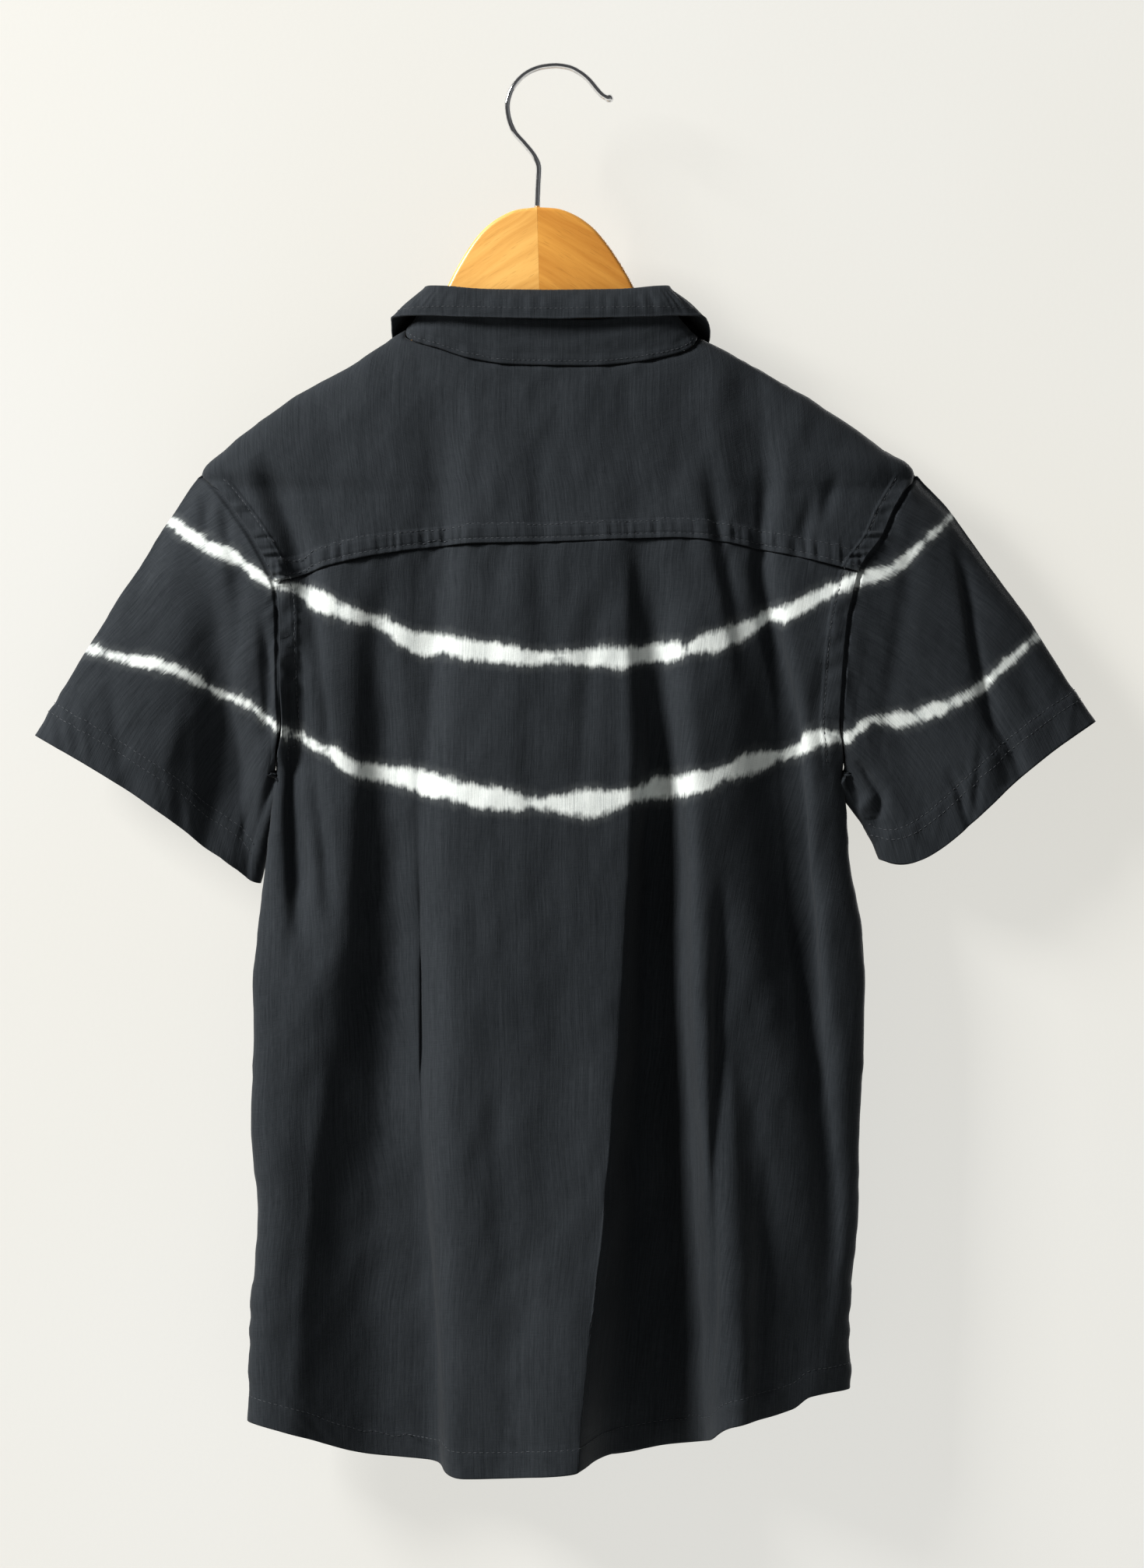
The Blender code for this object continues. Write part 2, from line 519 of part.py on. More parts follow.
def leaf_sections(angle):
    """The leaf's section at an angle: from the stand's edge up, over the fold and down to its edge."""
    turn = np.radians(angle)
    side = np.where(angle < 0, -1, 1)
    size = np.abs(angle)
    sideways = np.abs(np.sin(turn))
    forward = np.maximum(-np.cos(turn), 0.0)
    at_back = size <= 90
    seam_x, seam_y, _ = neck_ring(angle)
    end_x = CENTRE_FRONT + side * 1.4

    corner = by_side(angle, {s: CENTRE_FRONT + (neck_x(s) - CENTRE_FRONT) * FOLD_REACH[s] for s in (-1, 1)})
    reach = 1 - (1 - by_side(angle, FOLD_REACH)) * sideways ** 2
    fold_x = np.where(at_back, CENTRE_FRONT + (seam_x - CENTRE_FRONT) * reach, end_x + (corner - end_x) * sideways)
    fold_y = seam_y - 5.0 * forward ** 2 - square_corner(angle)
    fold_drop = smooth(LEAF_FOLD, size)

    outward_x, outward_y = ring_outward(angle)

    stand_side = by_side(angle, {-1: -1.0, 1: 1.0})
    placket = CENTRE_FRONT - stand_side * PLACKET_HALF
    neck = by_side(angle, {s: neck_x(s) for s in (-1, 1)})
    matched = np.clip(sideways + (end_x - placket) / (neck - placket) * (1 - sideways), 0.0, 1.0)
    stand_angle = np.where(at_back, angle, side * (180 - np.degrees(np.arcsin(matched))))
    low_x, low_y, low_z = stand_ring(stand_angle, 1.0)

    edge_drop = smooth(LEAF_EDGE, size) + RIGHT_EDGE_LOWER * (side > 0) * sideways ** 8
    widest = by_side(angle, {s: CENTRE_FRONT + (neck_x(s) - CENTRE_FRONT) * EDGE_REACH[s] for s in (-1, 1)})
    edge_reach = 1 + (by_side(angle, EDGE_REACH) - 1) * sideways ** 2
    edge_x = np.where(at_back, CENTRE_FRONT + (seam_x - CENTRE_FRONT) * edge_reach,
                      end_x + (widest - end_x) * smooth(LEAF_EDGE, size, 2))
    chest_y = front_y(across(edge_x, edge_drop), edge_drop) + WALL + 2.0
    beside = np.abs(np.cos(turn)) ** 0.7
    edge_y = np.where(at_back, seam_y - LEAF_STAND_OFF * beside,
                      seam_y + (chest_y - seam_y) * ramp(size, 90, 104))

    inner = (low_x + outward_x * 1.7, low_y + outward_y * 1.7, low_z + 0.8 + 1.5 * sideways ** 2 + 1.4 * forward)
    inner_top = (fold_x - outward_x * FOLD_HALF, fold_y - outward_y * FOLD_HALF, -(fold_drop + 2.4))
    crest = (fold_x, fold_y, -(fold_drop + LEAF_WALL * 0.6))
    outer_top = (fold_x + outward_x * FOLD_HALF, fold_y + outward_y * FOLD_HALF, -(fold_drop + 2.4))
    edge = (edge_x, edge_y, -edge_drop)
    bulge = 1.0 + 3.5 * forward
    outward = (outward_x * bulge, outward_y * bulge, np.zeros_like(turn))
    upper, lower = (tuple(a + (b - a) * t + o for a, b, o in zip(outer_top, edge, outward)) for t in (0.33, 0.67))
    return inner, inner_top, crest, outer_top, upper, lower, edge


def make_leaf():
    bm = bmesh.new()

    def place(u, v):
        sections = leaf_sections(LEAF_END * (2 * u - 1))
        row = np.rint(v * (len(sections) - 1)).astype(int)
        return tuple(np.choose(row, [section[axis] for section in sections]) for axis in range(3))
    add_grid(bm, 48, 6, place, flip=True)
    cloth_piece("collar_leaf", bm, LEAF_WALL)


def make_buttons():
    """Six buttons down the placket and one on the stand, their faces to the front."""
    places = [(float(front_y(across(CENTRE_FRONT, drop), drop)) + WALL, -drop) for drop in BUTTON_DROPS]
    _, stand_y, stand_z = stand_ring(np.array([-172.0]), 0.5)
    places.insert(0, (float(stand_y[0]) + STAND_WALL + 2.2, float(stand_z[0])))
    for number, (face_y, z) in enumerate(places, start=1):
        mesh = bpy.data.meshes.new(f"button_{number}")
        bm = bmesh.new()
        bmesh.ops.create_cone(bm, cap_ends=True, segments=20, radius1=BUTTON_RADIUS * MM, radius2=BUTTON_RADIUS * MM,
                              depth=BUTTON_THICK * MM)
        bm.to_mesh(mesh)
        bm.free()
        obj = new_object(f"button_{number}", mesh, BUTTON_GREY, 0.35)
        obj.rotation_euler = (math.pi / 2, 0, 0)
        obj.location = (CENTRE_FRONT * MM, (face_y + 0.3 + BUTTON_THICK / 2) * MM, z * MM)


def hanger_outline(side):
    """One half of the hanger in the plane, turned by its tilt."""
    outline = []
    for out, drop in HANGER_TOP + HANGER_BOTTOM:
        along, down = side * max(out, JOINT_GAP / 2), drop - HANGER_TOP_DROP
        x = HANGER_X + along * math.cos(HANGER_TILT) + down * math.sin(HANGER_TILT)
        outline.append((x, HANGER_TOP_DROP + down * math.cos(HANGER_TILT) - along * math.sin(HANGER_TILT)))
    return outline


def make_hanger():
    for name, side, color in (("hanger_left", -1, WOOD_LIGHT), ("hanger_right", 1, WOOD_DARK)):
        curve = bpy.data.curves.new(name, "CURVE")
        curve.dimensions = "2D"
        curve.fill_mode = "BOTH"
        curve.extrude = (WOOD_HALF_THICK - WOOD_ROUND) * MM
        curve.bevel_depth = WOOD_ROUND * MM
        curve.bevel_resolution = 1
        curve.offset = -WOOD_ROUND * MM
        outline = hanger_outline(side)
        spline = curve.splines.new("POLY")
        spline.points.add(len(outline) - 1)
        for point, (x, drop) in zip(spline.points, outline):
            point.co = (x * MM, -drop * MM, 0, 1)
        spline.use_cyclic_u = True
        flat = bpy.data.objects.new(f"{name}_outline", curve)
        shirt.objects.link(flat)
        bpy.context.view_layer.update()
        mesh = bpy.data.meshes.new_from_object(flat.evaluated_get(bpy.context.evaluated_depsgraph_get()))
        bpy.data.objects.remove(flat)
        bm = bmesh.new()
        bm.from_mesh(mesh)
        bmesh.ops.remove_doubles(bm, verts=bm.verts, dist=0.01 * MM)
        for vert in bm.verts:
            x, up, depth = vert.co
            out = min(abs(x / MM - HANGER_X) / ARM_END, 1.0)
            vert.co = (x, depth + ARM_FORWARD * out ** 1.5 * MM, up)
        if bm.calc_volume(signed=True) < 0:
            bmesh.ops.reverse_faces(bm, faces=bm.faces)
        bm.to_mesh(mesh)
        bm.free()
        mesh.materials.clear()
        new_object(name, mesh, color, 0.45)


def make_hook():
    curve = bpy.data.curves.new("hook", "CURVE")
    curve.dimensions = "3D"
    curve.bevel_depth = WIRE_RADIUS * MM
    curve.bevel_resolution = 2
    curve.use_fill_caps = True
    points = np.array(HOOK)
    length = np.concatenate(([0.0], np.cumsum(np.hypot(*np.diff(points, axis=0).T))))
    even = np.linspace(0, length[-1], 44)
    xs = smooth(np.column_stack((length, points[:, 0])), even)
    drops = smooth(np.column_stack((length, points[:, 1])), even)
    spline = curve.splines.new("POLY")
    spline.points.add(len(even) - 1)
    for point, x, drop, reach in zip(spline.points, xs, drops, even):
        point.co = (x * MM, 0, -drop * MM, 1)
        to_tip = length[-1] - reach
        point.radius = HOOK_TIP_RADIUS / WIRE_RADIUS if 0.5 < to_tip < 4.5 else 1.0
    obj = bpy.data.objects.new("hook", curve)
    curve.materials.append(material("hook", CHROME, 0.12, 1.0))
    shirt.objects.link(obj)


for old in list(bpy.data.objects):
    bpy.data.objects.remove(old)
shirt = bpy.data.collections.new("short_sleeve_shirt")
bpy.context.scene.collection.children.link(shirt)

make_back()
make_yoke()
make_fronts()
make_sleeves()
make_stand()
make_leaf()
make_buttons()
make_hanger()
make_hook()
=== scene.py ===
"""Boys' short-sleeved shirt on a wooden hanger, dressed in its woven cloth, stitching and finishes.

Sizes are in millimetres and become metres through MM. X runs to the wearer's right, Y to the
shirt's front and Z up. A drop is the distance below the inside of the hook's top.
"""
import math

import bmesh
import bpy
import numpy as np
from mathutils import Matrix, Vector
from mathutils.bvhtree import BVHTree


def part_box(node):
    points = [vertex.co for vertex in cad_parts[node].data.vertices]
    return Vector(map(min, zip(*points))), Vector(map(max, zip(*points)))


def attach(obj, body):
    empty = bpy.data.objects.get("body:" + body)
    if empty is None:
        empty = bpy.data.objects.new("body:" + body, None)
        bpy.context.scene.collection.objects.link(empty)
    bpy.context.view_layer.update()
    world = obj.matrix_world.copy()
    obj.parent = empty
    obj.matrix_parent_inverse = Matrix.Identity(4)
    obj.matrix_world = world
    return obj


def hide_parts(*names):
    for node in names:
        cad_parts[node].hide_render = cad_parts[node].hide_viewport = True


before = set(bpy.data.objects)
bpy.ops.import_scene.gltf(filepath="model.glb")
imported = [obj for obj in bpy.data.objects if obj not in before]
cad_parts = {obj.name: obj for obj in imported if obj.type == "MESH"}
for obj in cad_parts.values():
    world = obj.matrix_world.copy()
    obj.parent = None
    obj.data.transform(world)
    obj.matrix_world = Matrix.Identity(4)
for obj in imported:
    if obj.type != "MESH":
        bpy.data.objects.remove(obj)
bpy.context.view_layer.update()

MM = 0.001

WALL, STAND_WALL, LEAF_WALL = 1.2, 2, 1.5     # how far each outer face stands off its base surface
CLOTH = 0.6             # the woven cloth's own thickness
FOLDED_CLOTH = 1.1      # the collar's, with its lining
SEAM_GAP = 0.72         # between the neck seam and the collar stand's lower edge
WELD = 0.02             # points of a cloth piece that lie closer than this are one

CENTRE_FRONT = -3.0     # x of the line of buttons
PLACKET_HALF = 13.0     # how far each front laps past it
NECK_FRONT_DROP = 205.0
NECK_DROP = {-1: 138, 1: 142.8}
SHOULDER_DROP = 213.0
ARMPIT_DROP = 372.0

STAND_BACK, STAND_FRONT = 22.0, 20.0    # the collar stand's height
STAND_SIDE_DIP = 2.5    # how much lower it is at its sides
BUTTON_DROPS = (226, 304, 382, 460, 538, 616)

# Body outline: drop, left x, right x, y of the back's edge, y of the front's edge,
# y of the back's middle, y of the front's middle
TORSO = np.array((
    (138, -80, 67.7, 4, 4, -9, 22),
    (143, -87, 77, 4.5, 4.5, -9.5, 24),
    (156, -106, 102, 5.5, 5.5, -10, 26),
    (163, -118, 114.7, 6.3, 6.3, -10.7, 26.8),
    (170, -131, 126.8, 7, 7, -11.3, 27.5),
    (180, -147.5, 143, 8.2, 8.2, -12, 28),
    (190, -162, 158.2, 9.3, 9.3, -12.5, 28),
    (200, -174, 172.3, 10.5, 10.5, -13, 28),
    (213, -187.2, 189.4, 12, 12, -14, 28),
    (218, -182, 187, 5, 18.5, -14.5, 28),
    (224, -176.9, 183.8, 0, 22, -15, 28),
    (233, -170, 178.5, -4, 24.5, -15.5, 28),
    (246, -161, 172.6, -8, 26, -16.5, 28),
    (264, -151.2, 160.2, -11, 27, -17.5, 28),
    (275, -147.2, 157.4, -12, 27, -18, 28),
    (291, -146, 153.8, -12.5, 27, -18.5, 28),
    (320, -146, 151.2, -11.5, 26, -19, 28),
    (345, -144.9, 150, -7, 21.5, -19.5, 28),
    (360, -146.8, 151.3, -1.5, 14, -20, 28),
    (372, -148.3, 152, 4, 4, -20, 28),
    (394, -151, 154.2, 4, 4, -20.5, 28),
    (415, -153.3, 155.4, 4, 4, -20.5, 28),
    (456, -157.9, 162.4, 4, 4, -21, 28),
    (480, -159.5, 163.6, 4, 4, -21.5, 28),
    (517, -157, 163.2, 4, 4, -22, 28),
    (558, -156.6, 160.7, 4, 4, -23, 28),
    (600, -152, 160.3, 4, 4, -24, 28),
    (661, -156.2, 155.4, 4, 4, -25, 28),
    (711, -157.4, 155.8, 4, 4, -25.5, 28),
    (745, -156, 155, 4, 4, -26, 28),
))
# How sharply the cloth turns at its edge: drop, power
EDGE_TURN = np.array((
    (138, 0.33), (205, 0.33), (213, 0.36), (226, 1), (345, 1), (360, 0.8), (372, 0.5), (394, 0.42),
    (745, 0.42),
))

# Across the back, n runs from -1 at the left edge to 1 at the right edge: n, drop
NECK_BACK = np.array((
    (-1, 138), (-0.92, 142.3), (-0.65, 147.6), (-0.435, 152.9), (-0.215, 156.2), (0, 156.8),
    (0.185, 157), (0.395, 155.4), (0.64, 151.7), (0.81, 148.4), (1, 142.8),
))
YOKE_SEAM = np.array((
    (-1, 270.5), (-0.79, 261.4), (-0.58, 254.8), (-0.32, 250.3), (0, 249), (0.33, 247),
    (0.45, 248), (0.66, 253.6), (0.81, 258), (1, 264.6),
))
HEM_BACK = np.array((
    (-1, 711.5), (-0.82, 721), (-0.64, 729.8), (-0.43, 735.3), (-0.3, 738.6), (-0.05, 736),
    (0.12, 733), (0.3, 729.5), (0.5, 721), (0.6, 711), (0.8, 703.5), (0.86, 697.5), (1, 695),
))
HEM_FRONT = np.array((
    (-1, 711.5), (-0.8, 719), (-0.55, 729), (-0.2, 736), (0.2, 735), (0.55, 724),
    (0.8, 706), (1, 695),
))
FRONT_YOKE_ARMHOLE, FRONT_YOKE_NECK = 240, 170.0

# Folds that hang in a panel: the power of its left flank, 2 for a round one and 4 for a steep one, and
# then rows of drop, x of the middle, reach to the left, reach to the right, depth.
# A fold with a depth over 0 is a trough into the shirt, and one under 0 is a ridge.
BACK_FOLDS = (
    (4, (
        (247, 47.6, 8, 9, 0), (284, 48.4, 9, 9, 5), (333, 50.8, 10, 10, 10), (394, 52.9, 10, 11, 18),
        (476, 52.5, 11, 13, 26), (558, 52.5, 14, 17, 32), (640, 53.7, 19, 20, 36), (739, 50.8, 28, 26, 40))),
    (2, (
        (415, 35.3, 16, 9, 0), (497, 31, 18, 9, -4), (579, 27, 25, 10, -8), (661, 18.9, 32, 10, -13),
        (739, 12.7, 38, 10, -18))),
    (2, (
        (292, 72.2, 11, 11, 0), (374, 72, 12, 14, -3), (476, 73.4, 11, 12, -8), (558, 76, 11, 12, -10),
        (640, 86.5, 14, 20, -10), (739, 92, 16, 26, -10))),
    (2, (
        (247, 107, 15, 8, 3), (292, 111, 16, 8, 8), (333, 115.2, 16, 9, 12), (374, 117.3, 16, 9, 14),
        (435, 122.2, 16, 9, 14), (476, 128.7, 16, 9, 12), (538, 139.8, 15, 8, 8), (600, 146, 14, 6, 4),
        (722, 146, 14, 6, 0))),
    (2, (
        (247, -87.7, 12, 12, 0), (320, -93.9, 9, 10, 6), (374, -92.7, 9, 11, 8), (456, -91.8, 12, 10, 10),
        (538, -95.9, 25, 12, 12), (620, -102, 32, 22, 15), (681, -100, 35, 26, 16),
        (739, -96, 36, 30, 15))),
    (2, (
        (285, -137, 9, 8, 0), (330, -134, 9, 8, 6), (400, -136, 9, 8, 6), (480, -132, 9, 8, 0))),
)
FRONT_FOLDS = (
    (2, (
        (235, -92, 12, 12, 0), (340, -96, 12, 12, 5), (480, -92, 16, 14, 9), (620, -86, 24, 18, 13),
        (739, -80, 30, 22, 15))),
    (2, (
        (240, 96, 12, 12, 0), (350, 104, 14, 10, 6), (470, 112, 16, 12, 8), (600, 118, 18, 16, 8),
        (739, 122, 20, 18, 7))),
    (2, (
        (420, -46, 14, 14, 0), (560, -44, 18, 14, -5), (739, -38, 24, 18, -9))),
    (2, (
        (400, 62, 12, 12, 0), (540, 66, 14, 16, -5), (739, 74, 20, 22, -8))),
)

# Creases pressed or pulled into the cloth: x, drop, reach to the left, reach to the right, depth.
# Each runs from its first row to its last, and left and right are those of someone going down it.
BACK_CREASES = (
    ((-61, 244, 18, 9, 4.5), (-64, 290, 24, 10, 6.5), (-69, 340, 28, 11, 8.5), (-73, 400, 32, 12, 10),
     (-75, 470, 38, 13, 11), (-76, 560, 44, 14, 12), (-75, 650, 46, 15, 12), (-74, 740, 46, 15, 10)),
    ((43, 246, 9, 10, 1.4), (45, 270, 9, 10, 1.8), (48, 300, 10, 10, 1.2), (50, 330, 10, 10, 0)),
    ((41, 256, 6, 6, 0), (42, 284, 6, 6, -2.2), (44, 320, 7, 6, -3), (45, 360, 7, 6, -2.5),
     (46, 420, 7, 6, 0)),
    ((57, 256, 8, 7, 0), (58, 290, 9, 7, 2.5), (60, 350, 10, 8, 4.5), (62, 420, 10, 8, 5.5),
     (64, 520, 11, 8, 5.5), (66, 640, 14, 9, 5.5), (69, 740, 18, 10, 5.5)),
    ((-77, 350, 10, 10, 0), (-76, 430, 15, 10, 5), (-75, 540, 19, 11, 9), (-74, 640, 23, 11, 11),
     (-72, 740, 25, 11, 11)),
    ((70, 510, 8, 8, 0), (73, 580, 9, 8, 3), (76, 660, 10, 8, 3.5), (78, 735, 10, 8, 3)),
    ((90, 510, 6, 8, 0), (92, 580, 8, 9, -3.5), (96, 660, 8, 9, -4), (98, 735, 8, 9, -4)),
    ((36, 330, 24, 14, 0), (36, 420, 28, 14, 2.5), (34, 520, 34, 15, 5.5), (30, 610, 38, 15, 7.5),
     (27, 690, 36, 15, 6.5), (25, 740, 36, 15, 5)),
    ((-154, 450, 5, 14, 0), (-154, 540, 5, 18, -5), (-152, 600, 5, 20, -6.5), (-154, 661, 5, 20, -6.5),
     (-155, 730, 5, 20, -6)),
    ((-136.9, 300, 4, 5, 0), (-137.5, 330, 4, 5, 5), (-139, 380, 4, 5, 6.5), (-137, 425, 4, 5, 5),
     (-135.5, 460, 4, 5, 0)),
    ((-135, 256, 8, 7, 7.8), (-131, 270, 8, 7, 6.4), (-127.5, 288, 6, 5, 3.5), (-124, 312, 5, 4, 2.6),
     (-121, 338, 4, 3, 2.2), (-118, 365, 4, 3, 0)),
    ((-131, 350, 4, 5, 0), (-128, 372, 4, 5, 3.5), (-123, 410, 4, 5, 4), (-119, 450, 4, 5, 0)),
    ((-86, 450, 5, 6, 0), (-80, 520, 5, 6, -1.6), (-72, 590, 5, 6, -1.8), (-52, 736, 6, 7, -1.4)),
    ((-96, 490, 6, 6, 0), (-88, 590, 6, 6, 1.6), (-77, 728, 7, 7, 1.6)),
    ((87, 420, 3.5, 4, 0), (86, 470, 3.5, 4, 3.2), (84, 560, 3.5, 4, 4), (82, 640, 3.5, 4, 3.6),
     (80, 690, 4, 4, 0)),
    ((85, 244, 4, 5, 3.4), (89, 262, 4, 5, 3.4), (94, 290, 4, 6, 2.8), (101, 330, 5, 7, 0)),
    ((108, 247, 4, 5, 3.6), (107.5, 262, 4, 4, 4.2), (110, 282, 4, 4, 4.6), (116, 310, 4, 5, 5),
     (124, 350, 5, 6, 6.5), (127, 400, 5, 6, 8), (130, 450, 5, 6, 8), (134, 490, 5, 6, 6),
     (138, 540, 6, 6, 4), (143, 600, 6, 6, 3), (146, 660, 6, 6, 0)),
    ((-22, 300, 6, 6, 0), (-20, 360, 7, 7, -1), (-17, 440, 7, 7, -1.1), (-10, 520, 7, 7, 0)),
    ((-9, 244, 6, 6, 0.9), (-8, 270, 7, 6, 1.2), (-6, 310, 7, 7, 0.7), (-6, 350, 7, 7, 0)),
    ((20, 262, 6, 6, 0), (19, 300, 6, 6, 1), (15, 350, 6, 6, 1.2), (12, 420, 6, 6, 0)),
    ((42, 252, 5, 5, 0), (43, 280, 6, 5, 1.4), (46, 320, 7, 5, 1.6), (48, 360, 8, 6, 0)),
    ((-35, 470, 6, 8, 0), (-30, 560, 7, 9, 1.2), (-26, 640, 8, 9, 1.4), (-22, 735, 9, 9, 1)),
    ((-118, 500, 6, 6, 0), (-124, 560, 6, 7, -1.6), (-132, 640, 6, 7, -1.8), (-138, 715, 6, 7, -1)),
    ((112, 560, 5, 6, 0), (108, 620, 5, 6, 1.8), (104, 680, 5, 6, 2), (103, 705, 5, 6, 1.6)),
    ((140, 400, 5, 6, 0), (136, 440, 5, 6, 1.6), (128, 480, 5, 6, 0)),
    ((147, 300, 5, 5, 0), (139, 330, 5, 5, 1.5), (134, 352, 5, 5, 0)),
    ((150, 600, 5, 5, 0), (147, 650, 5, 5, -1.5), (141, 690, 5, 5, 0)),
)
YOKE_CREASES = (
    ((-56, 172, 14, 9, 0), (-59, 205, 16, 9, 3.2), (-61, 252, 18, 9, 4.5)),
    ((75, 176, 7, 9, 0), (79, 205, 6, 7, 1.6), (83, 226, 5, 6, 2.8), (86, 250, 4, 5, 3.4)),
    ((112, 190, 6, 7, 0), (111, 212, 5, 6, 1.8), (110, 230, 4, 5, 3.2), (108, 252, 4, 5, 3.6)),
    ((-158, 205, 6, 6, 0), (-150, 218, 7, 7, 4), (-143, 234, 8, 7, 7), (-137, 250, 8, 7, 8),
     (-132, 267, 8, 7, 7)),
    ((-172, 212, 4, 4, 1), (-166, 226, 4, 5, 2), (-160, 240, 4, 5, 1)),
    ((137, 222, 4, 4, 0), (131, 240, 4, 4, 1.7), (126, 258, 4, 4, 1.2)),
    ((150, 210, 4, 4, 0), (143, 228, 4, 4, 1.8), (139, 244, 4, 4, 0)),
    ((-8, 190, 6, 6, 0), (-9, 222, 6, 6, 1.6), (-9, 254, 6, 6, 0.9)),
    ((38, 160, 6, 6, 0), (36, 175, 6, 6, 1), (38, 200, 7, 7, 0)),
    ((41, 208, 10, 10, 0), (42, 230, 10, 10, 0.9), (43, 254, 9, 10, 1.5)),
    ((-52, 158, 8, 6, 0), (-54, 175, 8, 6, 0.8), (-58, 195, 8, 8, 0)),
)
FRONT_CREASES = (
    ((-131, 340, 4, 5, 0), (-127, 372, 4, 5, 3), (-121, 410, 4, 5, 3.4), (-116, 450, 4, 5, 0)),
    ((-80, 450, 6, 6, 0), (-74, 540, 6, 6, 1.4), (-66, 640, 7, 7, 1.6), (-60, 728, 7, 7, 1.2)),
    ((-52, 215, 5, 5, 0), (-60, 250, 5, 5, 1.6), (-70, 300, 6, 6, 1.2), (-76, 350, 6, 6, 0)),
    ((-40, 300, 6, 6, 0), (-36, 380, 6, 6, 1), (-30, 470, 6, 6, 0)),
    ((50, 214, 5, 5, 0), (58, 250, 5, 5, 1.7), (66, 300, 6, 6, 1.4), (70, 360, 6, 6, 0)),
    ((88, 420, 5, 5, 0), (86, 500, 5, 5, 2.4), (84, 600, 5, 5, 2.8), (83, 690, 5, 5, 0)),
    ((133, 345, 4, 5, 0), (127, 380, 4, 5, 3), (122, 420, 4, 5, 2.6), (119, 460, 4, 5, 0)),
    ((30, 450, 6, 6, 0), (33, 560, 6, 6, 1.1), (38, 690, 7, 7, 1.2), (40, 730, 7, 7, 0.6)),
    ((-89, 470, 14, 12, 0), (-86, 550, 18, 16, -5), (-83, 640, 24, 20, -9), (-80, 739, 28, 22, -9)),
)
SLEEVE_CREASES = {
    -1: (
        ((-164, 240, 5, 6, 0), (-165, 262, 5, 6, 2.4), (-166, 290, 5, 6, 2.4), (-167, 320, 5, 6, 0)),
        ((-205, 232, 5, 5, 0), (-216, 262, 5, 5, 1.2), (-226, 300, 5, 5, 0)),
        ((-236, 300, 6, 6, 0), (-232, 340, 6, 6, 1.3), (-222, 385, 6, 6, 1)),
        ((-192, 330, 5, 5, 0), (-196, 370, 5, 5, 1.6), (-198, 408, 5, 5, 1.2)),
        ((-154, 285, 3, 4, 0), (-151.5, 310, 3, 4, 3), (-151, 335, 3, 4, 3), (-153, 358, 3, 4, 0)),
        ((-157, 378, 3, 4, 0), (-163, 396, 3, 4, 1.6), (-168, 412, 3, 4, 0)),
        ((-186, 220, 3, 4, 0), (-184.5, 232, 3, 4, 2.4), (-185, 248, 3, 4, 0)),
        ((-171, 258, 10, 6, 0), (-172, 300, 12, 6, 2.5), (-176, 340, 14, 6, 4), (-180, 378, 14, 6, 5.2),
         (-186, 416, 14, 7, 4.6)),
        ((-176, 222, 3, 3, 0), (-173, 240, 3, 3, 2.2), (-170, 262, 3, 4, 1.6), (-168, 285, 3, 4, 0)),
    ),
    1: (
        ((209, 250, 2, 4, 0), (214.6, 267, 2, 4, 1.5), (219.5, 303, 2, 4, 2.4), (225.7, 330, 2, 4, 2.6),
         (229, 343, 1.8, 4, 2.6), (238.4, 358, 1.8, 4, 2.6), (246.2, 376, 2, 4, 2)),
        ((205, 368, 2, 3, 0), (211.3, 380, 1.8, 3, 2), (216.3, 396, 2, 3, 2)),
        ((188, 236, 5, 5, 0), (186, 262, 5, 6, 1.2), (180, 300, 5, 6, 1.2), (173, 345, 5, 6, 0.6)),
        ((158, 364, 2.5, 3, 0), (164.5, 374, 2.5, 3, 3.4), (171, 386, 2.5, 3, 3.8), (170, 396, 3, 3, 2.2),
         (176, 404, 3, 3, 0)),
        ((166, 381, 3, 3, 0), (163, 390, 3, 3, -3), (165, 400, 3, 3, -2), (169, 408, 3, 3, 0)),
        ((240, 300, 6, 6, 0), (250, 330, 6, 6, 1), (262, 356, 6, 6, 0)),
    ),
}

BODY_BAND, SLEEVE_BAND = 1.1, 0.8       # shares of the widths below, on the body and on the sleeves
# The two tie-dyed bands: x, drop, half the width
UPPER_BAND = np.array((
    (-230, 224, 3.4), (-203.8, 237.8, 4.2), (-186, 249.7, 4.8), (-169.7, 257.1, 4.3), (-153.3, 269.4, 3.2),
    (-148.4, 272.2, 2.2), (-137, 273.5, 2.6), (-128.7, 278.8, 5.2), (-116.4, 284.5, 4.6), (-104, 289.1, 3.2),
    (-97.2, 291.1, 2), (-91, 293.2, 3.4), (-81.6, 299.3, 4.8), (-73.8, 303.4, 5.6), (-63, 303.4, 5),
    (-46.7, 306.3, 5), (-26.2, 309.1, 4.4), (-5.7, 311.2, 2.8), (0, 311, 2.5), (18.9, 310.4, 4.4),
    (35.3, 310.4, 5.4), (44, 309, 3.4), (52, 308.5, 5), (63, 307.3, 4.4), (68.9, 306, 2.2), (78, 303, 4.8),
    (86, 301, 5), (97, 297, 4.8), (107, 292, 3.4), (112, 289, 2.4), (121.4, 287.4, 4.2), (133.7, 280.6, 4.2),
    (143, 276, 4), (148, 273.5, 2), (153, 271.4, 4.4), (160.3, 269.4, 4.4), (178.8, 263.2, 4.2),
    (191.1, 251.7, 3.6), (203.4, 240.7, 2.6), (215, 229, 3.4), (230, 216, 3.4),
))
